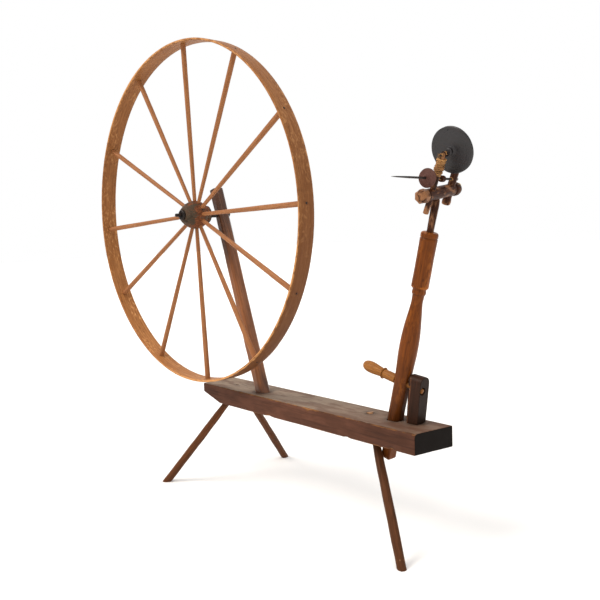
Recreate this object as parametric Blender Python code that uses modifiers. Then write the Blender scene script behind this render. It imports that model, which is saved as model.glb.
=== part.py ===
"""A great wheel: a hand-turned spinning wheel with an accelerating head, one object for each piece.

Design frame: the floor is z = 0 and the wheel turns about the line x = 0, z = AXLE_HEIGHT, along Y.
+X runs along the bench to the spindle, and -Y is the spinner's side.
"""

import math

import bmesh
import bpy
from mathutils import Matrix

# ---- driving dimensions, in metres and degrees ----
GAP = 0.0003  # between pieces that touch
LOOSE = 0.0015  # between pieces that move past each other

ORIGIN_X = 0.237  # from the wheel's axis to the middle of the whole object
ORIGIN_Y = 0.151

WHEEL_DIAMETER = 1.14
RIM_WIDTH = 0.060
RIM_THICKNESS = 0.007
AXLE_HEIGHT = 0.96
AXLE_RADIUS = 0.006
# The wheelwright set the spokes out by eye, so their angles are only roughly 30 apart.
SPOKE_ANGLES = (1.5, 30.5, 60.5, 89.5, 120, 152.5, 184, 211, 245, 275, 304, 334.5)
SPOKE_HUB_RADIUS = 0.006
SPOKE_RIM_RADIUS = 0.0085
SPOKE_DISH = 0.018  # how far behind the rim's middle the spokes meet the hub
SPOKE_SOCKET = 0.034  # radius of the sockets' bottoms in the hub
SPOKE_END_GAP = 0.0007
NAIL_RADIUS = 0.0015
NAIL_HEAD_RADIUS = 0.0034
NAIL_HEAD_HEIGHT = 0.0012
NAIL_HOLE_RADIUS = 0.0020
NAIL_DEPTH = 0.014
HUB_RADIUS = 0.048
HUB_FRONT = -0.033
HUB_BACK = 0.062
HUB_MIDDLE = 0.016
HUB_OVAL_LENGTH = 0.0539
COLLAR_RADIUS = 0.0175
COLLAR_WIDTH = 0.008
REAR_RING_WIDTH = 0.004
PIN_RADIUS = 0.0018

BENCH_HEIGHT = 0.36
BENCH_THICKNESS = 0.060
BENCH_WIDTH = 0.132
BENCH_LEFT = -0.055
BENCH_RIGHT = 0.924
BENCH_MIDDLE_Y = 0.110
BENCH_SKEW = -1.2  # the bench runs a little out of line with the wheel
BENCH_END_SKEW = 11.0  # the right end isn't sawn square
BENCH_END_TAPER = 0.095
BENCH_END_THICKNESS = 0.031
BENCH_EDGE = 0.002

LEG_TOP_RADIUS = 0.011
LEG_FOOT_RADIUS = 0.0135
LEG_BLIND_DEPTH = 0.034
LEG_SWELL = 0.080  # below the bench, where the leg reaches its full thickness
# name: where its axis meets the bench's top, where it meets the floor, and whether it shows on top
LEGS = {
    "leg_front_left": ((0.080, 0.116), (-0.159, -0.057), False),
    "leg_back_left": ((0.085, 0.113), (-0.036, 0.412), False),
    "leg_right": ((0.679, 0.122), (0.891, -0.007), True),
}
PEG_HOLE = (0.063, 0.116)
PEG_HOLE_RADIUS = 0.0045
PEG_HOLE_DEPTH = 0.012

WHEEL_POST_BASE = (0.222, 0.099)
WHEEL_POST_AXLE_Y = 0.129
WHEEL_POST_WIDTH = 0.044
WHEEL_POST_CHAMFER = 0.011
WHEEL_POST_ABOVE_AXLE = 0.085
WHEEL_POST_TENON_RADIUS = 0.015

PIVOT_DROP = 0.030  # the pivot pin below the bench's top
PIVOT_RADIUS = 0.005
SPINDLE_POST_BASE = (0.780, 0.115)
SPINDLE_POST_LEAN = 14.1
SPINDLE_POST_LENGTH = 0.540  # above the bench, along the post
SPINDLE_POST_WIDTH = 0.042
SPINDLE_POST_CHAMFER = 0.010
SPINDLE_POST_SQUARE = 0.146
POST_TENON = (0.030, 0.033)
POST_TENON_BELOW = 0.055
POST_SWAY = 0.003  # room for the tenon to swing in its slot

BLOCK_BASE = (0.8435, 0.123)
BLOCK_SIZE = (0.042, 0.039, 0.136)
BLOCK_LEAN = 7.8
BLOCK_ARCH = 0.020
BLOCK_CHAMFER = 0.008
BLOCK_TENON = (0.024, 0.030, 0.045)

SCREW_HEIGHT = 0.1455  # above the pivot, along the post
SCREW_RADIUS = 0.0085
SCREW_REACH = 0.0690
SCREW_POST_HOLE = 0.0095
SCREW_BLOCK_HOLE = 0.0108
HANDLE_NECK_RADIUS = 0.0130
HANDLE_NECK_LENGTH = 0.0445
HANDLE_LENGTH = 0.074
HANDLE_RING = (0.0155, 0.0030)

STOCK_ABOVE_POST = 0.1029
STOCK_RISE = 6.3  # the stock's back end is the higher one
HEAD_LEAN = 10.3  # the uprights lean further than the post
HEAD_SWIVEL = 7.0  # the head is turned a little on the post
STOCK_FRONT = -0.0870
STOCK_BACK = 0.0935
STOCK_RADIUS = 0.0165
CAP_WIDTH = 0.006
STEM_RADIUS = 0.0095
STEM_DEPTH = 0.055
STEM_TENON_RADIUS = 0.007
FRONT_UPRIGHT = (-0.029, 0.0080, -0.0530, 0.113)  # place on the stock, radius, foot, top
BACK_UPRIGHT = (0.0618, 0.0110, -0.0400, 0.137)
SPINDLE_RISE = (0.0430, 0.0300)  # height of its bearings above the stock's axis, front and back
ACCELERATOR_RISE = (0.1060, 0.1250)
SHAFT_RADIUS = 0.003
BUSH_RADIUS = 0.005
BUSH_PROUD = 0.0015
WRAP = (0.0550, 0.0940, 0.0105)
SPINDLE_FRONT = -0.212
SPINDLE_BACK = 0.120
STOP_DISC_RADIUS = 0.0245
SPINDLE_PULLEY = (0.0230, 0.0390, 0.0085)
ACCELERATOR_RADIUS = 0.0606
ACCELERATOR_AT = 0.0395
ACCELERATOR_PULLEY = (0.0125, 0.0265, 0.0100)

ROUND_STEPS = 24
SMALL_STEPS = 12
RIM_STEPS = 96


# ---- scene, collections and materials ----
def clear_scene():
    for thing in list(bpy.data.objects):
        bpy.data.objects.remove(thing, do_unlink=True)


def new_collection(name):
    made = bpy.data.collections.new(name)
    bpy.context.scene.collection.children.link(made)
    return made


def linear(channel):
    return channel / 12.92 if channel <= 0.04045 else ((channel + 0.055) / 1.055) ** 2.4


def finish(name, hex_colour, roughness, metallic=0.0):
    made = bpy.data.materials.new(name)
    made.use_nodes = True
    shader = made.node_tree.nodes["Principled BSDF"]
    channels = [int(hex_colour[i : i + 2], 16) / 255 for i in (1, 3, 5)]
    shader.inputs["Base Color"].default_value = [linear(c) for c in channels] + [1.0]
    shader.inputs["Roughness"].default_value = roughness
    shader.inputs["Metallic"].default_value = metallic
    return made


clear_scene()
PIECES = new_collection("spinning_wheel")
CUTTERS = new_collection("cutters")

OAK = finish("oak", "#B0743F", 0.55)
DARK_WOOD = finish("dark_wood", "#4A3228", 0.6)
POST_WOOD = finish("post_wood", "#8A4E26", 0.5)
HUB_PAINT = finish("hub_paint", "#3A2C26", 0.6)
BENCH_PAINT = finish("bench_paint", "#55392C", 0.65)
LEG_WOOD = finish("leg_wood", "#6B3F28", 0.6)
HANDLE_WOOD = finish("handle_wood", "#B5793F", 0.5)
HEAD_WOOD = finish("head_wood", "#6B3E20", 0.55)
DISC_PAINT = finish("disc_paint", "#3B3734", 0.7)
STOP_PAINT = finish("stop_paint", "#6B4445", 0.6)
HUSK = finish("husk", "#A57A3C", 0.8)
IRON = finish("iron", "#2B2725", 0.5, 0.8)


# ---- making and placing ----
def empty(name, parent=None, location=(0, 0, 0), rotation=(0, 0, 0), order="XYZ"):
    made = bpy.data.objects.new(name, None)
    PIECES.objects.link(made)
    made.parent = parent
    made.location = location
    made.rotation_mode = order
    made.rotation_euler = [math.radians(angle) for angle in rotation]
    return made


def add(name, mesh, parent, look=None, place=None):
    """Put a mesh in the scene, as a piece when it has a look and as a cutter when it hasn't."""
    made = bpy.data.objects.new(name, mesh)
    made.parent = parent
    if place is not None:
        made.matrix_local = place
    if look is None:
        CUTTERS.objects.link(made)
        made.hide_render = True
        made.display_type = "WIRE"
    else:
        PIECES.objects.link(made)
        mesh.materials.clear()
        mesh.materials.append(look)
    return made


def mesh_of(name, build):
    shape = bmesh.new()
    build(shape)
    mesh = bpy.data.meshes.new(name)
    shape.to_mesh(mesh)
    shape.free()
    return mesh


def turned(name, profile, parent, look=None, place=None, bore=None, steps=ROUND_STEPS):
    """Turn a profile of (height, radius) pairs, highest first, about the local Z axis."""
    points = [(radius, height) for height, radius in profile]
    if bore is not None:
        points += [(bore, profile[-1][0]), (bore, profile[0][0])]

    def build(shape):
        verts = [shape.verts.new((radius, 0, height)) for radius, height in points]
        for first, second in zip(verts, verts[1:]):
            shape.edges.new((first, second))
        if bore is not None:
            shape.edges.new((verts[-1], verts[0]))

    made = add(name, mesh_of(name, build), parent, look, place)
    screw = made.modifiers.new("turn", "SCREW")
    screw.axis = "Z"
    screw.steps = steps
    screw.render_steps = steps
    screw.use_merge_vertices = True
    screw.merge_threshold = 0.00001
    screw.use_smooth_shade = True
    return made


def rod(name, radius, low, high, parent, look=None, place=None, steps=ROUND_STEPS):
    """A plain round bar along the local Z axis."""
    middle = Matrix.Translation((0, 0, (low + high) / 2))

    def build(shape):
        bmesh.ops.create_cone(
            shape, cap_ends=True, segments=steps, radius1=radius, radius2=radius, depth=high - low, matrix=middle
        )

    return add(name, mesh_of(name, build), parent, look, place)


def block(name, low, high, parent, look=None, place=None):
    """A box between two corners."""
    size = [h - l for l, h in zip(low, high)]
    middle = [(h + l) / 2 for l, h in zip(low, high)]
    matrix = Matrix.Translation(middle) @ Matrix.Diagonal((*size, 1))
    return add(name, mesh_of(name, lambda shape: bmesh.ops.create_cube(shape, size=1, matrix=matrix)), parent, look, place)


def bevel_edges(thing, width, chosen, segments=1):
    """Bevel the mesh's edges for which chosen(first corner, second corner) holds."""
    shape = bmesh.new()
    shape.from_mesh(thing.data)
    edges = [edge for edge in shape.edges if chosen(edge.verts[0].co, edge.verts[1].co)]
    bmesh.ops.bevel(
        shape, geom=edges, offset=width, offset_type="OFFSET", segments=segments, profile=0.5, affect="EDGES"
    )
    shape.to_mesh(thing.data)
    shape.free()


def upright(first, second):
    return abs(first.z - second.z) > 1e-6 and abs(first.x - second.x) < 1e-6


def combine(target, other, operation="DIFFERENCE"):
    change = target.modifiers.new(other.name, "BOOLEAN")
    change.operation = operation
    change.solver = "EXACT"
    change.object = other


def along(axis):
    """The turn that lays the local Z axis along +X or +Y."""
    if axis == "X":
        return Matrix.Rotation(math.radians(90), 4, "Y")
    return Matrix.Rotation(math.radians(-90), 4, "X")


FRAME = empty("frame", location=(-ORIGIN_X, -ORIGIN_Y, 0))
WHEEL_AXIS = empty("wheel_axis", FRAME, (0, 0, AXLE_HEIGHT), (-90, 0, 0))
PIVOT = (
    SPINDLE_POST_BASE[0] - PIVOT_DROP * math.tan(math.radians(SPINDLE_POST_LEAN)),
    SPINDLE_POST_BASE[1],
    BENCH_HEIGHT - PIVOT_DROP,
)
POST_AXIS = empty("post_axis", FRAME, PIVOT, (0, SPINDLE_POST_LEAN, 0))
BENCH_ON_POST = PIVOT_DROP / math.cos(math.radians(SPINDLE_POST_LEAN))
POST_TOP = BENCH_ON_POST + SPINDLE_POST_LENGTH
SCREW_AXIS = empty("screw_axis", POST_AXIS, (0, 0, SCREW_HEIGHT), (0, 90, 0))
STOCK_HEIGHT = POST_TOP + STOCK_ABOVE_POST
HEAD_AXIS = empty("head_axis", POST_AXIS, (0, 0, STOCK_HEIGHT), (STOCK_RISE, HEAD_LEAN, HEAD_SWIVEL))
BEARING_SPAN = BACK_UPRIGHT[0] - FRONT_UPRIGHT[0]


def shaft_axis(name, rises):
    """An empty at a shaft's front bearing, its Z axis running to the back bearing."""
    tilt = math.degrees(math.atan2(rises[1] - rises[0], BEARING_SPAN))
    return empty(name, HEAD_AXIS, (0, FRONT_UPRIGHT[0], rises[0]), (tilt - 90, 0, 0))


def bearing_distance(rises):
    return math.hypot(BEARING_SPAN, rises[1] - rises[0])


SPINDLE_AXIS = shaft_axis("spindle_axis", SPINDLE_RISE)
ACCELERATOR_AXIS = shaft_axis("accelerator_axis", ACCELERATOR_RISE)
# Whatever stands on the bench is cut off level here.
BENCH_CUT = block("bench_cut", (-1, -1, BENCH_HEIGHT - 0.2), (2, 1, BENCH_HEIGHT + GAP), FRAME)
SWAY_CUT = block("sway_cut", (-1, -1, BENCH_HEIGHT - 0.2), (2, 1, BENCH_HEIGHT + LOOSE), FRAME)
FLOOR_CUT = block("floor_cut", (-1, -1, -0.3), (2, 1, 0), FRAME)


# ---- the wheel ----
WHEEL_RADIUS = WHEEL_DIAMETER / 2
SPOKE_SLOPE = math.atan2(SPOKE_DISH, WHEEL_RADIUS - RIM_THICKNESS - SPOKE_SOCKET)
SPOKE_LENGTH = (WHEEL_RADIUS - RIM_THICKNESS - SPOKE_SOCKET - SPOKE_END_GAP) / math.cos(SPOKE_SLOPE)
NAIL_SEAT = (WHEEL_RADIUS - SPOKE_SOCKET) / math.cos(SPOKE_SLOPE) + GAP


def spoke_place(angle):
    """From the socket's bottom in the hub, Z running out along the spoke."""
    return (
        Matrix.Rotation(math.radians(-angle), 4, "Z")
        @ Matrix.Translation((SPOKE_SOCKET, 0, SPOKE_DISH))
        @ Matrix.Rotation(math.radians(90) + SPOKE_SLOPE, 4, "Y")
    )


def many_rods(name, radius, low, high, parent, steps):
    """One cutter with a round bar along each spoke."""

    def build(shape):
        for angle in SPOKE_ANGLES:
            middle = spoke_place(angle) @ Matrix.Translation((0, 0, (low + high) / 2))
            bmesh.ops.create_cone(
                shape, cap_ends=True, segments=steps, radius1=radius, radius2=radius, depth=high - low, matrix=middle
            )

    return add(name, mesh_of(name, build), parent)


def make_rim():
    half = RIM_WIDTH / 2
    inner = WHEEL_RADIUS - RIM_THICKNESS
    rim = turned("rim", [(half, WHEEL_RADIUS), (-half, WHEEL_RADIUS)], WHEEL_AXIS, OAK, bore=inner, steps=RIM_STEPS)
    holes = many_rods("nail_holes", NAIL_HOLE_RADIUS, SPOKE_LENGTH - 0.01, NAIL_SEAT + 0.01, WHEEL_AXIS, 8)
    combine(rim, holes)


def make_spokes():
    bore = SPOKE_LENGTH - NAIL_DEPTH - 0.002
    profile = [
        (bore, 0),
        (bore, NAIL_HOLE_RADIUS),
        (SPOKE_LENGTH, NAIL_HOLE_RADIUS),
        (SPOKE_LENGTH, SPOKE_RIM_RADIUS),
        (SPOKE_LENGTH * 0.5, (SPOKE_RIM_RADIUS + SPOKE_HUB_RADIUS) / 2 + 0.0008),
        (HUB_RADIUS - SPOKE_SOCKET + 0.02, SPOKE_HUB_RADIUS),
        (0, SPOKE_HUB_RADIUS),
        (0, 0),
    ]
    for number, angle in enumerate(SPOKE_ANGLES, 1):
        turned(f"spoke_{number:02d}", profile, WHEEL_AXIS, OAK, spoke_place(angle), steps=SMALL_STEPS)


def make_nails():
    profile = [
        (NAIL_SEAT + NAIL_HEAD_HEIGHT, 0),
        (NAIL_SEAT + NAIL_HEAD_HEIGHT, NAIL_HEAD_RADIUS * 0.8),
        (NAIL_SEAT, NAIL_HEAD_RADIUS),
        (NAIL_SEAT, NAIL_RADIUS),
        (SPOKE_LENGTH - NAIL_DEPTH + 0.003, NAIL_RADIUS),
        (SPOKE_LENGTH - NAIL_DEPTH, 0),
    ]
    for number, angle in enumerate(SPOKE_ANGLES, 1):
        turned(f"rim_nail_{number:02d}", profile, WHEEL_AXIS, IRON, spoke_place(angle), steps=8)


def hub_oval(height):
    return HUB_RADIUS * math.sqrt(1 - ((height - HUB_MIDDLE) / HUB_OVAL_LENGTH) ** 2)


def make_hub():
    groove = HUB_BACK - 0.013
    shoulder = groove - 0.0035
    rows = 7
    profile = [(HUB_BACK, 0.0305), (groove + 0.0025, 0.0310), (groove, 0.0260), (shoulder, 0.0265)]
    for row in range(rows + 1):
        height = shoulder - 0.001 + (HUB_FRONT - shoulder + 0.001) * row / rows
        profile.append((height, hub_oval(height)))
    bore = AXLE_RADIUS + GAP
    hub = turned("hub", profile, WHEEL_AXIS, HUB_PAINT, bore=bore, steps=36)
    combine(hub, many_rods("spoke_sockets", SPOKE_HUB_RADIUS + GAP, -GAP, 0.05, WHEEL_AXIS, SMALL_STEPS))
    front = HUB_FRONT - GAP
    collar = [
        (front, COLLAR_RADIUS),
        (front - COLLAR_WIDTH * 0.8, COLLAR_RADIUS),
        (front - COLLAR_WIDTH, COLLAR_RADIUS * 0.85),
    ]
    turned("hub_front_collar", collar, WHEEL_AXIS, IRON, bore=bore)
    ring = [(HUB_BACK + GAP + REAR_RING_WIDTH, 0.0300), (HUB_BACK + GAP, 0.0300)]
    turned("hub_rear_ring", ring, WHEEL_AXIS, IRON, bore=bore)


def make_axle():
    post_half = WHEEL_POST_WIDTH / 2
    shoulder = HUB_BACK + REAR_RING_WIDTH + 4 * GAP
    front = HUB_FRONT - COLLAR_WIDTH
    seat = WHEEL_POST_AXLE_Y - post_half - 0.002
    back = WHEEL_POST_AXLE_Y + post_half + 0.0135
    profile = [
        (back, 0),
        (back, AXLE_RADIUS - 0.001),
        (back - 0.001, AXLE_RADIUS),
        (seat, AXLE_RADIUS),
        (seat, AXLE_RADIUS + 0.005),
        (shoulder, AXLE_RADIUS + 0.005),
        (shoulder, AXLE_RADIUS),
        (front - 0.018, AXLE_RADIUS),
        (front - 0.021, AXLE_RADIUS - 0.0015),
        (front - 0.022, 0),
    ]
    axle = turned("wheel_axle", profile, WHEEL_AXIS, IRON)
    washer_back = WHEEL_POST_AXLE_Y + post_half + 0.0055
    washer = [(washer_back, 0.014), (washer_back - 0.003, 0.014)]
    turned("axle_washer", washer, WHEEL_AXIS, IRON, bore=AXLE_RADIUS + GAP)
    pins = (
        ("axle_linchpin", front - LOOSE - PIN_RADIUS, -0.013, 0.013),
        ("axle_key", washer_back + GAP + PIN_RADIUS, -0.016, 0.014),
    )
    upward = Matrix.Rotation(math.radians(90), 4, "X")
    for name, place, low, high in pins:
        stand = Matrix.Translation((0, 0, place)) @ upward
        combine(axle, rod(name + "_hole", PIN_RADIUS + GAP, -0.02, 0.02, WHEEL_AXIS, place=stand, steps=SMALL_STEPS))
        rod(name, PIN_RADIUS, low, high, WHEEL_AXIS, IRON, stand, steps=SMALL_STEPS)


# ---- the bench, its legs and the wheel's post ----
def leg_place(top, foot):
    """From the bench's top to the floor, Z running up along the leg."""
    drop = BENCH_HEIGHT
    rake = math.atan2(top[0] - foot[0], drop)
    splay = math.atan2(top[1] - foot[1], drop / math.cos(rake))
    turn = Matrix.Rotation(rake, 4, "Y") @ Matrix.Rotation(-splay, 4, "X")
    length = drop / (math.cos(rake) * math.cos(splay))
    return Matrix.Translation((*foot, 0)) @ turn, length


def make_legs(bench):
    for name, (top, foot, shows) in LEGS.items():
        place, length = leg_place(top, foot)
        slope = length / BENCH_HEIGHT
        under = length - BENCH_THICKNESS * slope
        end = length - GAP if shows else under + LEG_BLIND_DEPTH * slope
        profile = [
            (end, 0),
            (end, LEG_TOP_RADIUS),
            (under - 0.012, LEG_TOP_RADIUS),
            (under - LEG_SWELL, LEG_FOOT_RADIUS * 0.95),
            (0, LEG_FOOT_RADIUS),
            (-0.03, LEG_FOOT_RADIUS),
            (-0.03, 0),
        ]
        leg = turned(name, profile, FRAME, LEG_WOOD, place, steps=SMALL_STEPS)
        combine(leg, FLOOR_CUT)
        hole_end = length + 0.03 if shows else end + GAP
        hole = rod(name + "_hole", LEG_TOP_RADIUS + GAP, under - 0.03, hole_end, FRAME, place=place, steps=SMALL_STEPS)
        combine(bench, hole)
        if shows:
            combine(leg, BENCH_TOP_CUT)


def make_bench():
    half = BENCH_WIDTH / 2
    spare = 0.05
    low = (BENCH_LEFT, -half, BENCH_HEIGHT - BENCH_THICKNESS)
    high = (BENCH_RIGHT + spare, half, BENCH_HEIGHT)
    skew = Matrix.Translation((0, BENCH_MIDDLE_Y, 0)) @ Matrix.Rotation(math.radians(BENCH_SKEW), 4, "Z")
    # The skew turns about the bench's middle, so that both ends keep their place along X.
    middle_x = (BENCH_LEFT + BENCH_RIGHT) / 2
    skew = Matrix.Translation((middle_x, 0, 0)) @ skew @ Matrix.Translation((-middle_x, 0, 0))
    bench = block("bench", low, high, FRAME, BENCH_PAINT, skew)
    bevel_edges(bench, BENCH_EDGE, lambda first, second: True)
    rise = math.atan2(BENCH_THICKNESS - BENCH_END_THICKNESS, BENCH_END_TAPER)
    corner = (BENCH_LEFT, 0, BENCH_HEIGHT - BENCH_END_THICKNESS)
    slope = skew @ Matrix.Translation(corner) @ Matrix.Rotation(rise, 4, "Y")
    taper = block("end_taper", (-0.05, -0.1, -0.1), (0.2, 0.1, 0), FRAME, place=slope)
    combine(bench, taper)
    sawn = Matrix.Translation((BENCH_RIGHT, 0, 0)) @ Matrix.Rotation(-math.radians(BENCH_END_SKEW), 4, "Z")
    combine(bench, block("end_saw", (0, -0.2, 0), (0.2, 0.2, 0.5), FRAME, place=skew @ sawn))
    peg = Matrix.Translation((*PEG_HOLE, BENCH_HEIGHT))
    combine(bench, rod("peg_hole", PEG_HOLE_RADIUS, -PEG_HOLE_DEPTH, 0.01, FRAME, place=peg, steps=SMALL_STEPS))
    return bench


def eight_sided(name, width, chamfer, low, high, parent, look):
    half = width / 2
    made = block(name, (-half, -half, low), (half, half, high), parent, look)
    bevel_edges(made, chamfer, upright)
    return made


def make_wheel_post(bench):
    rise = AXLE_HEIGHT - BENCH_HEIGHT
    tip = math.atan2(WHEEL_POST_AXLE_Y - WHEEL_POST_BASE[1], rise)
    rake = math.atan2(WHEEL_POST_BASE[0] * math.cos(tip), rise)
    angles = (-math.degrees(tip), -math.degrees(rake), 0)
    axis = empty("wheel_post_axis", FRAME, (*WHEEL_POST_BASE, BENCH_HEIGHT), angles, "YXZ")
    slope = 1 / (math.cos(tip) * math.cos(rake))
    top = (rise + WHEEL_POST_ABOVE_AXLE) * slope
    post = eight_sided("wheel_post", WHEEL_POST_WIDTH, WHEEL_POST_CHAMFER, -0.03, top, axis, DARK_WOOD)
    bevel_edges(post, 0.006, lambda first, second: min(first.z, second.z) > top - 1e-6, segments=2)
    combine(post, BENCH_CUT)
    depth = (BENCH_THICKNESS - 0.006) * slope
    tenon = rod("wheel_post_tenon", WHEEL_POST_TENON_RADIUS, -depth, 0.03, axis)
    combine(post, tenon, "UNION")
    combine(bench, rod("wheel_post_mortise", WHEEL_POST_TENON_RADIUS + GAP, -0.1, 0.03, axis))
    combine(post, rod("axle_hole", AXLE_RADIUS + GAP, 0.05, 0.2, WHEEL_AXIS))


# ---- the spindle post, its block and its screw ----
def make_spindle_post(bench):
    base = BENCH_ON_POST
    # height above the bench and radius, from the top down
    turning = (
        (SPINDLE_POST_LENGTH, 0.0195),
        (SPINDLE_POST_LENGTH - 0.004, 0.0235),
        (SPINDLE_POST_LENGTH - 0.013, 0.0235),
        (SPINDLE_POST_LENGTH - 0.0155, 0.0221),
        (SPINDLE_POST_LENGTH - 0.018, 0.0235),
        (0.394, 0.0235),
        (0.389, 0.0213),
        (0.386, 0.0180),
        (0.380, 0.0192),
        (0.373, 0.0180),
        (0.369, 0.0166),
        (0.346, 0.0156),
        (0.318, 0.0186),
        (0.290, 0.0220),
        (0.260, 0.0247),
        (0.226, 0.0262),
        (0.190, 0.0258),
        (0.167, 0.0246),
        (SPINDLE_POST_SQUARE + 0.004, 0.0206),
        (0.110, 0.0200),
    )
    profile = [(base + SPINDLE_POST_LENGTH, 0)] + [(base + height, radius) for height, radius in turning]
    profile.append((base + turning[-1][0], 0))
    post = turned("spindle_post", profile, POST_AXIS, POST_WOOD)
    square_top = base + SPINDLE_POST_SQUARE
    square = eight_sided(
        "post_square", SPINDLE_POST_WIDTH, SPINDLE_POST_CHAMFER, -0.01, square_top, POST_AXIS, None
    )
    combine(square, SWAY_CUT)
    combine(post, square, "UNION")
    wide, deep = POST_TENON[0] / 2, POST_TENON[1] / 2
    tenon_foot = -(BENCH_THICKNESS - PIVOT_DROP + POST_TENON_BELOW) / math.cos(math.radians(SPINDLE_POST_LEAN))
    tenon = block("post_tenon", (-wide, -deep, tenon_foot), (wide, deep, base + 0.03), POST_AXIS)
    bevel_edges(tenon, 0.003, upright)
    combine(post, tenon, "UNION")
    slot_side = GAP * 2
    slot = block(
        "post_slot", (-wide - POST_SWAY, -deep - slot_side, -0.12), (wide + POST_SWAY, deep + slot_side, 0.12), POST_AXIS
    )
    combine(bench, slot)
    combine(post, rod("pivot_hole", PIVOT_RADIUS + 2 * GAP, -0.1, 0.1, POST_AXIS, place=along("Y"), steps=SMALL_STEPS))
    combine(post, rod("post_screw_hole", SCREW_POST_HOLE, -0.06, 0.06, SCREW_AXIS))
    combine(post, rod("stem_socket", STEM_RADIUS + GAP, POST_TOP - STEM_DEPTH - GAP * 2, POST_TOP + 0.02, POST_AXIS))
    # The pin goes in from the bench's back and stops short of its front face.
    front = -BENCH_WIDTH / 2 + 0.020
    back = BENCH_WIDTH / 2 - 0.020
    pin_place = Matrix.Translation(PIVOT) @ along("Y")
    rod("post_pivot_pin", PIVOT_RADIUS, front, back, FRAME, HEAD_WOOD, pin_place, steps=SMALL_STEPS)
    hole = rod("bench_pin_hole", PIVOT_RADIUS + GAP, front - GAP, 0.15, FRAME, place=pin_place, steps=SMALL_STEPS)
    combine(bench, hole)


def make_tension_block(bench):
    axis = empty("block_axis", FRAME, (*BLOCK_BASE, BENCH_HEIGHT), (0, BLOCK_LEAN, 0))
    wide, deep, tall = BLOCK_SIZE[0] / 2, BLOCK_SIZE[1] / 2, BLOCK_SIZE[2]
    body = block("tension_block", (-wide, -deep, -0.01), (wide, deep, tall), axis, DARK_WOOD)

    def top_corners(first, second):
        return min(first.z, second.z) > tall - 1e-6 and abs(first.y - second.y) < 1e-6

    def front_left(first, second):
        return upright(first, second) and max(first.x, first.y) < 0

    bevel_edges(body, BLOCK_ARCH, top_corners, segments=6)
    bevel_edges(body, BLOCK_CHAMFER, front_left)
    combine(body, BENCH_CUT)
    tenon_wide, tenon_deep, tenon_length = BLOCK_TENON[0] / 2, BLOCK_TENON[1] / 2, BLOCK_TENON[2]
    tenon = block("block_tenon", (-tenon_wide, -tenon_deep, -tenon_length), (tenon_wide, tenon_deep, 0.02), axis)
    combine(body, tenon, "UNION")
    mortise = block(
        "block_mortise",
        (-tenon_wide - GAP, -tenon_deep - GAP, -tenon_length - GAP),
        (tenon_wide + GAP, tenon_deep + GAP, 0.02),
        axis,
    )
    combine(bench, mortise)
    combine(body, rod("block_screw_hole", SCREW_BLOCK_HOLE, 0.02, 0.12, SCREW_AXIS))


def make_tension_screw():
    post_face = -SPINDLE_POST_WIDTH / 2 - GAP
    ring_radius, ring_width = HANDLE_RING
    ring = post_face - HANDLE_NECK_LENGTH
    handle = ring - ring_width - 2 * GAP
    profile = [
        (SCREW_REACH, 0),
        (SCREW_REACH, SCREW_RADIUS - 0.0015),
        (SCREW_REACH - 0.0015, SCREW_RADIUS),
        (post_face, SCREW_RADIUS),
        (post_face, HANDLE_NECK_RADIUS),
        (ring, HANDLE_NECK_RADIUS),
        (ring, HANDLE_NECK_RADIUS - 0.0015),
        (handle, HANDLE_NECK_RADIUS - 0.0015),
        (handle, HANDLE_NECK_RADIUS),
    ]
    # An egg whose thick end is the outer one: share of the handle's length, radius.
    egg = ((0.18, 0.0139), (0.38, 0.0156), (0.58, 0.0166), (0.74, 0.0161), (0.87, 0.0133), (0.96, 0.0080), (1.0, 0))
    profile += [(handle - share * HANDLE_LENGTH, radius) for share, radius in egg]
    turned("tension_screw", profile, SCREW_AXIS, HANDLE_WOOD)
    collar = [(ring - GAP, ring_radius), (handle + GAP, ring_radius)]
    turned("handle_ring", collar, SCREW_AXIS, HANDLE_WOOD, bore=HANDLE_NECK_RADIUS - 0.0015 + GAP)


# ---- the accelerating head ----
def make_stem_and_stock():
    shoulder = STOCK_HEIGHT - STOCK_RADIUS - 0.0025
    tenon_top = STOCK_HEIGHT + 0.008
    profile = [
        (tenon_top, 0),
        (tenon_top, STEM_TENON_RADIUS),
        (shoulder, STEM_TENON_RADIUS),
        (shoulder, STEM_RADIUS - 0.001),
        (shoulder - 0.002, STEM_RADIUS),
        (POST_TOP - STEM_DEPTH, STEM_RADIUS),
        (POST_TOP - STEM_DEPTH, 0),
    ]
    turned("head_stem", profile, POST_AXIS, HEAD_WOOD, steps=24)
    stock_profile = [
        (STOCK_BACK, 0),
        (STOCK_BACK, 0.0160),
        (STOCK_BACK - 0.004, 0.0185),
        (STOCK_BACK - 0.018, 0.0180),
        (STOCK_BACK - 0.020, 0.0150),
        (STOCK_BACK - 0.022, STOCK_RADIUS),
        (STOCK_FRONT + 0.034, STOCK_RADIUS),
        (STOCK_FRONT + 0.031, 0.0150),
        (STOCK_FRONT + 0.027, 0.0188),
        (STOCK_FRONT + 0.009, 0.0188),
        (STOCK_FRONT, 0.0130),
        (STOCK_FRONT, 0),
    ]
    stock = turned("head_stock", stock_profile, HEAD_AXIS, HEAD_WOOD, along("Y"))
    combine(stock, rod("stem_hole", STEM_TENON_RADIUS + GAP, shoulder - 0.03, tenon_top + GAP, POST_AXIS))
    cap = [(STOCK_BACK + GAP + CAP_WIDTH, 0), (STOCK_BACK + GAP + CAP_WIDTH, 0.0145), (STOCK_BACK + GAP, 0.0165)]
    cap.append((STOCK_BACK + GAP, 0))
    turned("stock_cap", cap, HEAD_AXIS, IRON, along("Y"))
    return stock


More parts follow.
